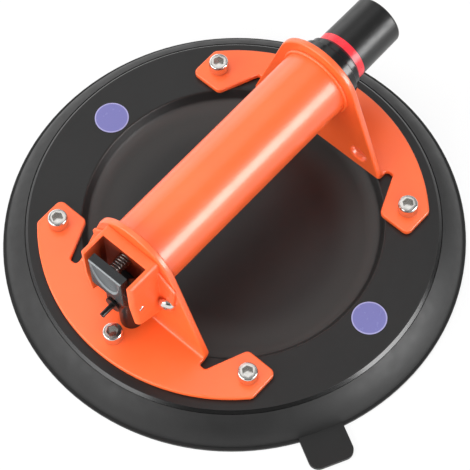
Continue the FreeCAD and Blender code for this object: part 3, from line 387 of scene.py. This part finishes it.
pocket_shaded = add_node(tree, "ShaderNodeMix", {"Factor": pocket_shade.outputs[0], "A": plain_tone, "B": linear("7A2408")},
                  data_type="RGBA")
tree.links.new(pocket_shaded.outputs["Result"], shader.inputs["Base Color"])
tree.links.new(drifting(tree, 2.5, 0.42, 0.52), shader.inputs["Roughness"])
raise_grain(tree, shader, NYLON_SPARK, 0.02, 0.5)
print(moulded_orange.name, len(tree.nodes), "nodes")

# %% [markdown]
# ### Black plate
# The plate is nylon with a fine spark texture and looks satin grey under soft light. A ring of the dish floor
# at the foot of its wall is painted paler as a painted highlight, and that ring is made matt. The sloped
# outer edge comes from a polished part of the mould, so it mirrors a lamp where the rest only glows.

# %% Black plate
PALE_RING_ROUGHNESS = 0.66
PALE_RING_START = 42 * MM
PALE_RING_END = 62 * MM
PALE_RING_TOP = 11.4 * MM
PALE_RING_FADE = 1.4 * MM
EDGE_SIZE = 1.6
EDGE_MARGIN = 0.02
EDGE_FADE = 0.05 * MM
EDGE_ROUGHNESS = 0.23
PLATE_SPARK = 0.45

plate_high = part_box("base_plate")[1]
edge_start = plate_high.x - (EDGE_SIZE - EDGE_MARGIN) * MM
plate_black, tree, shader = new_finish("black_spark_textured_nylon", IOR=1.5)
plain_tone = mottled(tree, 30, "141414", "171717")
place = add_node(tree, "ShaderNodeTexCoord")
split = add_node(tree, "ShaderNodeSeparateXYZ", {0: place.outputs["Object"]})
flat = add_node(tree, "ShaderNodeCombineXYZ", {"X": split.outputs["X"], "Y": split.outputs["Y"]})
reach = add_node(tree, "ShaderNodeVectorMath", {0: flat.outputs[0]}, operation="LENGTH")
outer = add_node(tree, "ShaderNodeMapRange",
                 {"Value": reach.outputs["Value"], "From Min": PALE_RING_START, "From Max": PALE_RING_END},
                 interpolation_type="SMOOTHSTEP")
low = add_node(tree, "ShaderNodeMapRange",
               {"Value": split.outputs["Z"], "From Min": PALE_RING_TOP, "From Max": PALE_RING_TOP - PALE_RING_FADE})
# Painted highlight: a ring of the dish floor at the foot of its wall is painted paler. The same ring is made
# matt.
pale_ring = add_node(tree, "ShaderNodeMath", {0: outer.outputs[0], 1: low.outputs[0]}, operation="MULTIPLY")
pale_ring_painted = add_node(tree, "ShaderNodeMix", {"Factor": pale_ring.outputs[0], "A": plain_tone, "B": linear("343433")},
                 data_type="RGBA")
tree.links.new(pale_ring_painted.outputs["Result"], shader.inputs["Base Color"])
matt = add_node(tree, "ShaderNodeMapRange",
                {"Value": pale_ring.outputs[0], "To Min": drifting(tree, 3, 0.37, 0.44), "To Max": PALE_RING_ROUGHNESS})
polish = add_node(tree, "ShaderNodeMapRange",
                  {"Value": reach.outputs["Value"], "From Min": edge_start,
                   "From Max": edge_start + EDGE_FADE, "To Min": matt.outputs[0], "To Max": EDGE_ROUGHNESS})
tree.links.new(polish.outputs[0], shader.inputs["Roughness"])
raise_grain(tree, shader, PLATE_SPARK, 0.014, 0.5)
print(plate_black.name, len(tree.nodes), "nodes, edge from mm", round(edge_start / MM, 2))

# %% [markdown]
# ### Rubber and black acetal
# The pad and the seals are nitrile rubber, which has a dull waxy bloom in soft patches. The plunger is satin
# acetal, so lamps lie on it as soft grey bands. The collar is turned from acetal: it is glossy, and the
# tool's fine rings run round the handle's axis.

# %% Rubber and black acetal
# The tool leaves a ring about every 0.1 mm, which is too fine to show, so the rings are drawn wider.
TURNED_RING = 0.35
ROUND_THE_AXIS = (1, 0.05, 0.05)

rubber, tree, shader = new_finish("black_moulded_nitrile_rubber", IOR=1.52)
tree.links.new(mottled(tree, 22, "0E0E0E", "131313", 3.0), shader.inputs["Base Color"])
tree.links.new(drifting(tree, 6, 0.50, 0.60, 3.0), shader.inputs["Roughness"])
raise_grain(tree, shader, 0.7, 0.012, 0.4)

satin_black, tree, shader = new_finish("black_satin_acetal", IOR=1.48)
tree.links.new(mottled(tree, 14, "111111", "151515"), shader.inputs["Base Color"])
tree.links.new(drifting(tree, 4, 0.30, 0.38), shader.inputs["Roughness"])
raise_grain(tree, shader, 0.6, 0.01, 0.4, 1.0)

gloss_black, tree, shader = new_finish("black_turned_gloss_acetal", IOR=1.48)
tree.links.new(mottled(tree, 9, "0D0E0F", "121416"), shader.inputs["Base Color"])
turned_sheen = drifting(tree, TURNED_RING, 0.14, 0.24, 1.0, ROUND_THE_AXIS)
tree.links.new(turned_sheen, shader.inputs["Roughness"])
raise_grain(tree, shader, TURNED_RING, 0.004, 0.4, 1.0, ROUND_THE_AXIS)
print("made", rubber.name, satin_black.name, gloss_black.name)

# %% [markdown]
# ### Lever
# The lever is charcoal acetal. Its front is painted a paler grey as a painted reflection, most of all in its
# dish, and the dish's rim and the lever's upper edge are painted palest as painted highlights. The top stays
# dark.

# %% Lever finish
DISH_MIDDLE = Vector((-77.0, 0.0, 78.0)) * MM
DISH_WIDTH = 8.2 * MM
# The dish is an oval. Times these factors, distances from its middle are those in a circle.
DISH_TO_CIRCLE = (2.6, 1.0, 0.52)
DISH_INSIDE = 0.9
DISH_RIM = 0.96
DISH_RIM_HALF = 0.024
PAINTED_SHEEN_OUTSIDE = 0.12
LEVER_EDGE = 78.9 * MM
LEVER_FADE = 0.3 * MM
LEVER_RIDGE = Vector((-77.0, 0.0, 79.6)) * MM
RIDGE_REACH = 0.62 * MM
ACROSS_RIDGE = (1, 0, 1)

lever_black, tree, shader = new_finish("charcoal_moulded_acetal", IOR=1.48)
place = add_node(tree, "ShaderNodeTexCoord")
flat = add_node(tree, "ShaderNodeVectorMath", {0: place.outputs["Object"], 1: DISH_MIDDLE},
                operation="SUBTRACT")
oval = add_node(tree, "ShaderNodeVectorMath", {0: flat.outputs[0], 1: DISH_TO_CIRCLE}, operation="MULTIPLY")
reach = add_node(tree, "ShaderNodeVectorMath", {0: oval.outputs[0]}, operation="LENGTH")
# Painted reflection: the front is painted a paler grey, most of all in the dish.
dish_sheen = add_node(tree, "ShaderNodeMapRange",
               {"Value": reach.outputs["Value"], "From Min": DISH_WIDTH, "From Max": DISH_INSIDE * DISH_WIDTH,
                "To Min": PAINTED_SHEEN_OUTSIDE, "To Max": 1.0})
height = add_node(tree, "ShaderNodeSeparateXYZ", {0: place.outputs["Object"]})
front = add_node(tree, "ShaderNodeMapRange",
                 {"Value": height.outputs["Z"], "From Min": LEVER_EDGE, "From Max": LEVER_EDGE - LEVER_FADE})
front_sheen = add_node(tree, "ShaderNodeMath", {0: dish_sheen.outputs[0], 1: front.outputs[0]}, operation="MULTIPLY")
grey = add_node(tree, "ShaderNodeMix",
                {"Factor": front_sheen.outputs[0], "A": linear("17191B"), "B": linear("43474A")}, data_type="RGBA")
# Painted highlights: the dish's rim and the lever's upper edge are painted palest.
rim = add_node(tree, "ShaderNodeMath",
               {0: reach.outputs["Value"], 1: DISH_RIM * DISH_WIDTH, 2: DISH_RIM_HALF * DISH_WIDTH},
               operation="COMPARE")
rim_front = add_node(tree, "ShaderNodeMath", {0: rim.outputs[0], 1: front.outputs[0]}, operation="MULTIPLY")
ridge = add_node(tree, "ShaderNodeVectorMath", {0: place.outputs["Object"], 1: ACROSS_RIDGE},
                 operation="MULTIPLY")
ridge_gap = add_node(tree, "ShaderNodeVectorMath", {0: ridge.outputs[0], 1: LEVER_RIDGE},
                     operation="DISTANCE")
upper_edge = add_node(tree, "ShaderNodeMath", {0: ridge_gap.outputs["Value"], 1: RIDGE_REACH},
                      operation="LESS_THAN")
edges = add_node(tree, "ShaderNodeMath", {0: rim_front.outputs[0], 1: upper_edge.outputs[0]},
                 operation="MAXIMUM")
edged = add_node(tree, "ShaderNodeMix",
                 {"Factor": edges.outputs[0], "A": grey.outputs["Result"], "B": linear("7C8082")},
                 data_type="RGBA")
tree.links.new(edged.outputs["Result"], shader.inputs["Base Color"])
tree.links.new(drifting(tree, 4, 0.26, 0.32), shader.inputs["Roughness"])
raise_grain(tree, shader, 0.8, 0.003, 0.4, 1.0)
print(lever_black.name, len(tree.nodes), "nodes")

# %% [markdown]
# ### Metals
# The screws and the pin are nickel plated and mirror the tent with a slight haze. The springs are drawn
# wire, which is darker. The pump's barrel is a drawn aluminium tube with lines along it, and the inserts in
# the plate are turned brass.

# %% Metals


def new_metal(name, dark, pale, roughness, scratch_mm, stretch=(1, 1, 1)):
    """Bare or plated metal with a drawn or turned grain."""
    finish, tree, shader = new_finish(name, Metallic=1.0)
    tree.links.new(mottled(tree, 4, dark, pale), shader.inputs["Base Color"])
    tree.links.new(drifting(tree, scratch_mm, *roughness, stretch=stretch), shader.inputs["Roughness"])
    raise_grain(tree, shader, scratch_mm, 0.002, 0.3, stretch=stretch)
    return finish


ALONG_TUBE = (0.05, 1, 1)
ALONG_INSERT = (1, 1, 0.1)
screw_steel = new_metal("nickel_plated_steel", "DAD7D2", "E8E6E2", (0.16, 0.26), 0.4)
spring_wire = new_metal("drawn_spring_steel", "86827E", "A6A29D", (0.24, 0.34), 0.3)
barrel_tube = new_metal("drawn_aluminium_tube", "B9BABC", "C8C9CB", (0.28, 0.38), 0.3, ALONG_TUBE)
insert_brass = new_metal("turned_brass", "B98B3E", "C99B4C", (0.22, 0.32), 0.3, ALONG_INSERT)
print("made", screw_steel.name, spring_wire.name, barrel_tube.name, insert_brass.name)

# %% [markdown]
# ### Red ring, felt and blue discs
# The ring warns of lost vacuum, so its acetal is a clear red with a slight gloss. The filter is pressed wool
# felt, which is matt and hairy. The discs are vinyl film in one blue, with a paler edge where it was cut.

# %% Red ring, felt and blue discs
DISC_EDGE_START = 0.7 * MM
DISC_EDGE_END = 0.4 * MM

red_ring, tree, shader = new_finish("red_moulded_acetal", IOR=1.48)
tree.links.new(mottled(tree, 8, "F42A38", "FA3442"), shader.inputs["Base Color"])
tree.links.new(drifting(tree, 2, 0.26, 0.34), shader.inputs["Roughness"])

filter_felt, tree, shader = new_finish("pressed_wool_felt", IOR=1.5, Roughness=0.95)
tree.links.new(mottled(tree, 0.6, "8E8A80", "B2AEA4", 3.0), shader.inputs["Base Color"])
raise_grain(tree, shader, 0.3, 0.15, 0.8, 3.0)

# The two discs lie on both sides of the handle, so the pattern folds Y and measures from a disc's middle.
disc_low, disc_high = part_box("blue_discs")
disc_radius = (disc_high.x - disc_low.x) / 2
disc_middle = Vector(((disc_low.x + disc_high.x) / 2, disc_high.y - disc_radius, 0))
vinyl, tree, shader = new_finish("blue_printed_vinyl", IOR=1.46)
place = add_node(tree, "ShaderNodeTexCoord")
split = add_node(tree, "ShaderNodeSeparateXYZ", {0: place.outputs["Object"]})
folded = add_node(tree, "ShaderNodeMath", {0: split.outputs["Y"]}, operation="ABSOLUTE")
flat = add_node(tree, "ShaderNodeCombineXYZ", {"X": split.outputs["X"], "Y": folded.outputs[0]})
reach = add_node(tree, "ShaderNodeVectorMath", {0: flat.outputs[0], 1: disc_middle}, operation="DISTANCE")
edge = add_node(tree, "ShaderNodeMapRange",
                {"Value": reach.outputs["Value"], "From Min": disc_radius - DISC_EDGE_START,
                 "From Max": disc_radius - DISC_EDGE_END})
blue = add_node(tree, "ShaderNodeMix",
                {"Factor": edge.outputs[0], "A": linear("6C6CA6"), "B": linear("9A98C6")}, data_type="RGBA")
tree.links.new(blue.outputs["Result"], shader.inputs["Base Color"])
tree.links.new(drifting(tree, 3, 0.265, 0.275), shader.inputs["Roughness"])
print("made", red_ring.name, filter_felt.name, vinyl.name)

# %% [markdown]
# ### Which node wears which finish
# A solid whose shape is right stays as it is, and only its material slot changes.

# %% Dress the nodes
finish_of = {
    "rubber_pad": rubber,
    "base_plate": plate_black,
    "release_bracket": enamel,
    "pump_bracket": enamel,
    "handle_tube": enamel,
    "tube_weld_beads": enamel,
    "foot_screws": screw_steel,
    "thread_inserts": insert_brass,
    "pump_barrel": barrel_tube,
    "guide_collar": gloss_black,
    "barrel_head": satin_black,
    "inlet_check_valve": rubber,
    "plunger_knob": satin_black,
    "indicator_ring": red_ring,
    "piston": satin_black,
    "piston_seal": rubber,
    "piston_screw": screw_steel,
    "return_spring": spring_wire,
    "release_housing": moulded_orange,
    "housing_screws": screw_steel,
    "lever_pin": screw_steel,
    "release_lever": lever_black,
    "lever_spring": spring_wire,
    "valve_body": satin_black,
    "valve_stem": satin_black,
    "valve_seal": rubber,
    "port_seal_ring": rubber,
    "port_filter": filter_felt,
    "blue_discs": vinyl,
}
for node_name, finish in finish_of.items():
    nodes[node_name].data.materials.clear()
    nodes[node_name].data.materials.append(finish)
print(len(finish_of), "nodes dressed")

# %% [markdown]
# ## Helpers for pieces
# A round piece grows ring by ring from a circle: each ring is extruded, raised and scaled, as a turner would
# work along the bar. A finished piece is settled: it gets its finish, rides on a body, and stands for a node.

# %% Helpers for round pieces
AXIS_POINT = (0, 0, 0)
# Points nearer to each other than this are one point.
MERGE_WITHIN = 0.001 * MM


def start_ring(radius_mm, height_mm, points):
    """New piece at the origin in edit mode: one filled circle, whose edges are selected."""
    bpy.ops.object.select_all(action="DESELECT")
    bpy.ops.mesh.primitive_circle_add(vertices=points, radius=radius_mm * MM, fill_type="NGON")
    piece = bpy.context.object
    bpy.ops.object.mode_set(mode="EDIT")
    bpy.ops.mesh.select_mode(type="EDGE")
    bpy.ops.mesh.select_all(action="SELECT")
    bpy.ops.transform.translate(value=(0, 0, height_mm * MM))
    return piece


def grow_rings(rings):
    """Extrude the selected ring through radius and height pairs; the first pair is where it stands."""
    for (radius, height), (next_radius, next_height) in zip(rings, rings[1:]):
        rise = (0, 0, (next_height - height) * MM)
        bpy.ops.mesh.extrude_edges_move(TRANSFORM_OT_translate={"value": rise})
        scale = next_radius / radius
        bpy.ops.transform.resize(value=(scale, scale, 1), center_override=AXIS_POINT)


def select_points(piece, test):
    """In edit mode, select the points that pass a test on their place, and the edges between them."""
    bpy.ops.mesh.select_mode(type="VERT")
    bpy.ops.mesh.select_all(action="DESELECT")
    mesh = bmesh.from_edit_mesh(piece.data)
    for point in mesh.verts:
        point.select_set(test(point.co))
    mesh.select_flush(True)
    bmesh.update_edit_mesh(piece.data)


def close_piece(smooth_angle=35):
    """Leave edit mode with all faces turned outwards and soft shading across shallow edges."""
    bpy.ops.mesh.select_all(action="SELECT")
    bpy.ops.mesh.normals_make_consistent(inside=False)
    bpy.ops.object.mode_set(mode="OBJECT")
    bpy.ops.object.shade_smooth_by_angle(angle=math.radians(smooth_angle))


# %% Helpers for all pieces


def cut_out(piece, cutter, smooth_angle=30):
    """Cut a cutter's shape out of a piece, and clear the cutter away."""
    bpy.ops.object.select_all(action="DESELECT")
    bpy.context.view_layer.objects.active = piece
    recess = piece.modifiers.new("recess", "BOOLEAN")
    recess.operation = "DIFFERENCE"
    recess.object = cutter
    bpy.ops.object.modifier_apply(modifier=recess.name)
    bpy.data.objects.remove(cutter)
    piece.select_set(True)
    bpy.ops.object.shade_smooth_by_angle(angle=math.radians(smooth_angle))


def settle(piece, name, body, finish, node_name):
    """Put a piece's place into its mesh, dress it, and let it stand for a node on a body."""
    bpy.ops.object.select_all(action="DESELECT")
    piece.select_set(True)
    bpy.context.view_layer.objects.active = piece
    bpy.ops.object.transform_apply(location=True, rotation=True, scale=True)
    piece.name = name
    piece.data.materials.clear()
    piece.data.materials.append(finish)
    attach(piece, body)
    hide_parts(node_name)


def copy_of(piece):
    """Copy of a piece with its own mesh."""
    bpy.ops.object.select_all(action="DESELECT")
    piece.select_set(True)
    bpy.context.view_layer.objects.active = piece
    bpy.ops.object.duplicate()
    return bpy.context.object


# %% [markdown]
# ## Screws
# Six socket cap screws hold the feet. Each has a knurled head with a rounded crown and a hexagon socket.
# Every second point of the head's two widest rings is pulled in, which gives the knurl, and a six-sided
# cylinder cuts the socket with a Boolean modifier. One screw is modelled and copied, and each copy is turned
# a little, as no two screws stop at the same angle.

# %% Foot screws
HEAD_RADIUS = 4.5
HEAD_HEIGHT = 6.0
KNURL_POINTS = 72
KNURL_SHARE = 0.965
SOCKET_RADIUS = 2.3 / math.cos(math.radians(30))
SOCKET_DEPTH = 3.0
SHANK_RADIUS = 3.0
SHANK_TIP_RADIUS = 2.5
SHANK_TIP = 0.5
SHANK_LENGTH = 12.6
SCREW_TURN = math.radians(23)

shank_rings = [(SHANK_TIP_RADIUS, -SHANK_LENGTH), (SHANK_RADIUS, SHANK_TIP - SHANK_LENGTH),
               (SHANK_RADIUS, 0.0)]
head_rings = [(4.2, 0.0), (HEAD_RADIUS, 0.25), (HEAD_RADIUS, 4.7), (4.4, 5.2), (4.25, 5.6), (4.0, 5.88),
              (3.7, HEAD_HEIGHT)]
cap_screw = start_ring(SHANK_TIP_RADIUS, -SHANK_LENGTH, KNURL_POINTS)
grow_rings(shank_rings + head_rings)
bpy.ops.mesh.edge_face_add()


def on_knurl(place):
    """Every second point of the head's two widest rings."""
    radius = math.hypot(place.x, place.y)
    step = round(math.atan2(place.y, place.x) / (2 * math.pi / KNURL_POINTS))
    return radius > (HEAD_RADIUS - 0.05) * MM and step % 2 == 1


select_points(cap_screw, on_knurl)
bpy.ops.transform.resize(value=(KNURL_SHARE, KNURL_SHARE, 1), center_override=AXIS_POINT)
close_piece()
bpy.ops.object.select_all(action="DESELECT")
bpy.ops.mesh.primitive_cylinder_add(vertices=6, radius=SOCKET_RADIUS * MM, depth=2 * SOCKET_DEPTH * MM,
                                    location=(0, 0, HEAD_HEIGHT * MM))
cut_out(cap_screw, bpy.context.object)

screw_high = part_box("foot_screws")[1]
screw_seat = screw_high.z - HEAD_HEIGHT * MM
screw_circle = screw_high.x - HEAD_RADIUS * MM
ear_angle = math.asin((screw_high.y - HEAD_RADIUS * MM) / screw_circle)
screw_angles = [side + offset for side in (0, math.pi) for offset in (-ear_angle, 0, ear_angle)]
for number, angle in enumerate(screw_angles, start=1):
    screw = cap_screw if number == len(screw_angles) else copy_of(cap_screw)
    screw.location = (screw_circle * math.cos(angle), screw_circle * math.sin(angle), screw_seat)
    screw.rotation_euler.z = SCREW_TURN * number
    settle(screw, f"foot_screw_{number}", "frame", screw_steel, "foot_screws")
print(len(screw_angles), "foot screws of", len(cap_screw.data.polygons), "faces")

# %% [markdown]
# The release housing hangs on two pan-head screws. Their heads are smooth domes with a cross recess. The dome
# grows ring by ring like the cap screw, and the recess is cut by a cross of two tapered blades with a Boolean
# modifier, because its floor and its walls then meet the dome's curve by themselves.

# %% Housing screws
PAN_POINTS = 48
PAN_RADIUS = 3.8
PAN_HEIGHT = 2.6
PAN_SHANK_RADIUS = 2.0
PAN_SHANK_LENGTH = 4.4
PAN_SHANK_TIP = 0.3
BLADE = (3.5, 0.75, 3.0)
BLADE_MIDDLE = 2.7
BLADE_TAPER = 0.35

pan_shank_rings = [(1.7, -PAN_SHANK_LENGTH), (PAN_SHANK_RADIUS, PAN_SHANK_TIP - PAN_SHANK_LENGTH),
                   (PAN_SHANK_RADIUS, 0.0)]
pan_head_rings = [(3.65, 0.0), (PAN_RADIUS, 0.15), (PAN_RADIUS, 0.6), (3.7, 1.0), (3.45, 1.45), (3.05, 1.85),
                  (2.45, 2.2), (1.7, 2.45), (0.85, 2.57), (0.3, PAN_HEIGHT)]
pan_screw = start_ring(*pan_shank_rings[0], PAN_POINTS)
grow_rings(pan_shank_rings + pan_head_rings)
bpy.ops.mesh.edge_face_add()
close_piece()

for turn in (0, math.pi / 2):
    bpy.ops.object.select_all(action="DESELECT")
    bpy.ops.mesh.primitive_cube_add(size=1, location=(0, 0, BLADE_MIDDLE * MM), rotation=(0, 0, turn))
    blade = bpy.context.object
    blade.scale = Vector(BLADE) * MM
    bpy.ops.object.transform_apply(location=True, rotation=True, scale=True)
    bpy.ops.object.mode_set(mode="EDIT")
    select_points(blade, lambda place: place.z < BLADE_MIDDLE * MM)
    bpy.ops.transform.resize(value=(BLADE_TAPER, BLADE_TAPER, 1), center_override=AXIS_POINT)
    bpy.ops.object.mode_set(mode="OBJECT")
    cut_out(pan_screw, blade)

pan_low, pan_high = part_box("housing_screws")
pan_seat = pan_low.x + PAN_HEIGHT * MM
pan_side = pan_high.y - PAN_RADIUS * MM
for number, side in enumerate((-1, 1), start=1):
    screw = pan_screw if number == 2 else copy_of(pan_screw)
    screw.location = (pan_seat, side * pan_side, (pan_low.z + pan_high.z) / 2)
    screw.rotation_euler = (SCREW_TURN * number, math.radians(-90), 0)
    settle(screw, f"housing_screw_{number}", "frame", screw_steel, "housing_screws")
print("2 housing screws of", len(pan_screw.data.polygons), "faces")

# %% [markdown]
# The lever turns on a plain steel pin. Its ends are domed, because a sharp end would not go through the
# holes, and the dome is what shows as a small bright dot on the housing's cheek.

# %% Lever pin
PIN_POINTS = 32
PIN_RADIUS = 1.5
PIN_DOME = 0.55

pin_low, pin_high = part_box("lever_pin")
pin_half = pin_high.y / MM
dome = [(PIN_RADIUS, pin_half - PIN_DOME), (1.42, pin_half - 0.3), (1.2, pin_half - 0.13),
        (0.8, pin_half - 0.03), (0.3, pin_half)]
pin_rings = [(radius, -height) for radius, height in reversed(dome)] + dome
pin = start_ring(*pin_rings[0], PIN_POINTS)
grow_rings(pin_rings)
bpy.ops.mesh.edge_face_add()
close_piece(smooth_angle=40)
pin.rotation_euler = (math.radians(90), 0, 0)
pin.location = (pin_low + pin_high) / 2
settle(pin, "lever_pin_domed", "frame", screw_steel, "lever_pin")
print("pin of", round(2 * pin_half, 1), "mm")

# %% [markdown]
# ## Springs
# Both springs are drawn wire wound on a rod. A Screw modifier carries the wire's round section up the helix,
# which is how the wire is laid.

# %% Springs
WIRE_POINTS = 14
STEPS_PER_TURN = 28


def wind_spring(node_name, piece_name, wire_mm, turns):
    """Helical spring along X in a node's own box."""
    low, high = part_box(node_name)
    wire = wire_mm * MM / 2
    mean_radius = (high.z - low.z) / 2 - wire
    pitch = (high.x - low.x - 2 * wire) / turns
    bpy.ops.object.select_all(action="DESELECT")
    bpy.ops.mesh.primitive_circle_add(vertices=WIRE_POINTS, radius=wire, location=(mean_radius, 0, 0),
                                      rotation=(math.radians(90), 0, 0))
    spring = bpy.context.object
    bpy.ops.object.transform_apply(location=True, rotation=True, scale=True)
    coil = spring.modifiers.new("coil", "SCREW")
    coil.axis = "Z"
    coil.angle = 2 * math.pi
    coil.screw_offset = pitch
    coil.iterations = turns
    coil.steps = STEPS_PER_TURN
    coil.render_steps = STEPS_PER_TURN
    bpy.ops.object.modifier_apply(modifier=coil.name)
    bpy.ops.object.mode_set(mode="EDIT")
    bpy.ops.mesh.select_all(action="SELECT")
    bpy.ops.mesh.remove_doubles(threshold=MERGE_WITHIN)
    bpy.ops.mesh.fill_holes(sides=0)
    close_piece(smooth_angle=50)
    spring.rotation_euler = (0, math.radians(90), 0)
    spring.location = (low.x + wire, 0, (low.z + high.z) / 2)
    settle(spring, piece_name, "frame", spring_wire, node_name)
    return spring, low, high


lever_coil, coil_low, coil_high = wind_spring("lever_spring", "lever_spring_coil", wire_mm=0.7, turns=6)
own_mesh(lever_coil)
return_coil, coil_low, coil_high = wind_spring("return_spring", "return_spring_coil", wire_mm=1.4, turns=12)
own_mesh(return_coil)
print("springs of", len(lever_coil.data.polygons), "and", len(return_coil.data.polygons), "faces")

# %% [markdown]
# ## Weld beads
# The tube is welded into both uprights, and the paint hides all of the bead but its ripples. A bead is a ring
# of small overlapping pools, so a torus gets a swelling at every pool: the middle loop of each is fattened a
# little along the normals.

# %% Weld beads
BEAD_RADIUS = 0.9
BEAD_SINK = 0.45
BEAD_POINTS = 16
POOLS = 52
LOOPS_PER_POOL = 4
POOL_SWELL = 0.1

bead_low, bead_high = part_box("tube_weld_beads")
bpy.ops.object.select_all(action="DESELECT")
bead_reach = (BEAD_RADIUS + POOL_SWELL + BEAD_SINK) * MM
bpy.ops.mesh.primitive_torus_add(major_segments=POOLS * LOOPS_PER_POOL, minor_segments=BEAD_POINTS,
                                 major_radius=bead_high.y - bead_reach, minor_radius=BEAD_RADIUS * MM)
bead = bpy.context.object
bpy.ops.object.mode_set(mode="EDIT")


def in_pool_middle(place):
    """Points of the loops in the middle of a weld pool."""
    step = round(math.atan2(place.y, place.x) / (2 * math.pi / (POOLS * LOOPS_PER_POOL)))
    return step % LOOPS_PER_POOL == 0


select_points(bead, in_pool_middle)
bpy.ops.transform.shrink_fatten(value=POOL_SWELL * MM)
close_piece(smooth_angle=60)
for number, side in enumerate((-1, 1), start=1):
    ring = bead if number == 2 else copy_of(bead)
    ring.rotation_euler = (0, math.radians(90), 0)
    ring.location = (side * (bead_high.x - BEAD_SINK * MM), 0, (bead_low.z + bead_high.z) / 2)
    settle(ring, f"tube_weld_bead_{number}", "frame", enamel, "tube_weld_beads")
print("2 weld beads of", POOLS, "pools")

# %% [markdown]
# ## Softened edges
# Sheet metal that has been cut, bent and painted has no sharp edge: the paint draws a round of under a
# millimetre, and that round catches the light as a pale line. A moulded edge has a smaller one. The solids
# have sharp edges there, so a copy of each takes a bevel. The copy's loose triangles are merged first, and
# flat ones dissolve into whole faces.

# %% Softened copies
PAINT_ROUND = 0.8
MOULD_ROUND = 0.25
FLAT_WITHIN = math.radians(0.5)
SHARP_FROM = math.radians(40)
SMOOTH_UP_TO = math.radians(35)


def merged_copy(node_name):
    """Copy of a solid's mesh in edit mode, with its loose triangles joined."""
    piece = copy_of(nodes[node_name])
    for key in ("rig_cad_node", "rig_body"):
        del piece[key]
    bpy.ops.mesh.customdata_custom_splitnormals_clear()
    bpy.ops.object.mode_set(mode="EDIT")
    bpy.ops.mesh.select_all(action="SELECT")
    bpy.ops.mesh.remove_doubles(threshold=MERGE_WITHIN)
    return piece


def finish_copy(piece, piece_name, body, node_name):
    """Shade a copy so that its flat faces stay flat, and let it stand for its solid."""
    bpy.ops.object.shade_smooth_by_angle(angle=SMOOTH_UP_TO)
    weighting = piece.modifiers.new("flat_faces_stay_flat", "WEIGHTED_NORMAL")
    weighting.keep_sharp = True
    bpy.ops.object.modifier_apply(modifier=weighting.name)
    settle(piece, piece_name, body, finish_of[node_name], node_name)
    print(piece_name, len(piece.data.polygons), "faces")


def softened_copy(node_name, piece_name, width_mm, body):
    """Copy of a solid with its sharp edges rounded, standing for that solid."""
    piece = merged_copy(node_name)
    bpy.ops.mesh.dissolve_limited(angle_limit=FLAT_WITHIN)
    bpy.ops.object.mode_set(mode="OBJECT")
    rounding = piece.modifiers.new("paint_round", "BEVEL")
    rounding.width = width_mm * MM
    rounding.segments = 3
    rounding.limit_method = "ANGLE"
    rounding.angle_limit = SHARP_FROM
    rounding.use_clamp_overlap = False
    rounding.loop_slide = False
    bpy.ops.object.modifier_apply(modifier=rounding.name)
    finish_copy(piece, piece_name, body, node_name)


softened_copy("release_bracket", "release_bracket_painted", PAINT_ROUND, "frame")
softened_copy("pump_bracket", "pump_bracket_painted", PAINT_ROUND, "frame")
softened_copy("release_housing", "release_housing_moulded", MOULD_ROUND, "frame")

# %% [markdown]
# The plate's outer edge is moulded with a flat slope, which draws a pale ring round the black land. The solid
# has a round there, so a copy loses the points inside that round, and a bridge joins the two rings that are
# left.

# %% Sloped edge of the plate
plate = merged_copy("base_plate")


def in_plate_edge(place, margin_mm):
    """Points in the corner of the plate's edge, which a margin makes larger."""
    corner = (EDGE_SIZE + margin_mm) * MM
    return math.hypot(place.x, place.y) > plate_high.x - corner and place.z > plate_high.z - corner


select_points(plate, lambda place: in_plate_edge(place, -EDGE_MARGIN))
bpy.ops.mesh.delete(type="VERT")
select_points(plate, lambda place: in_plate_edge(place, EDGE_MARGIN))
bpy.ops.mesh.bridge_edge_loops()
bpy.ops.object.mode_set(mode="OBJECT")
finish_copy(plate, "base_plate_moulded", "frame", "base_plate")

# %% [markdown]
# ## Sizes
# The box of the dressed lifter is printed in millimetres.

# %% Finish
low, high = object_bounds()
print("dressed box in mm", [round(side * 1000, 1) for side in high - low])
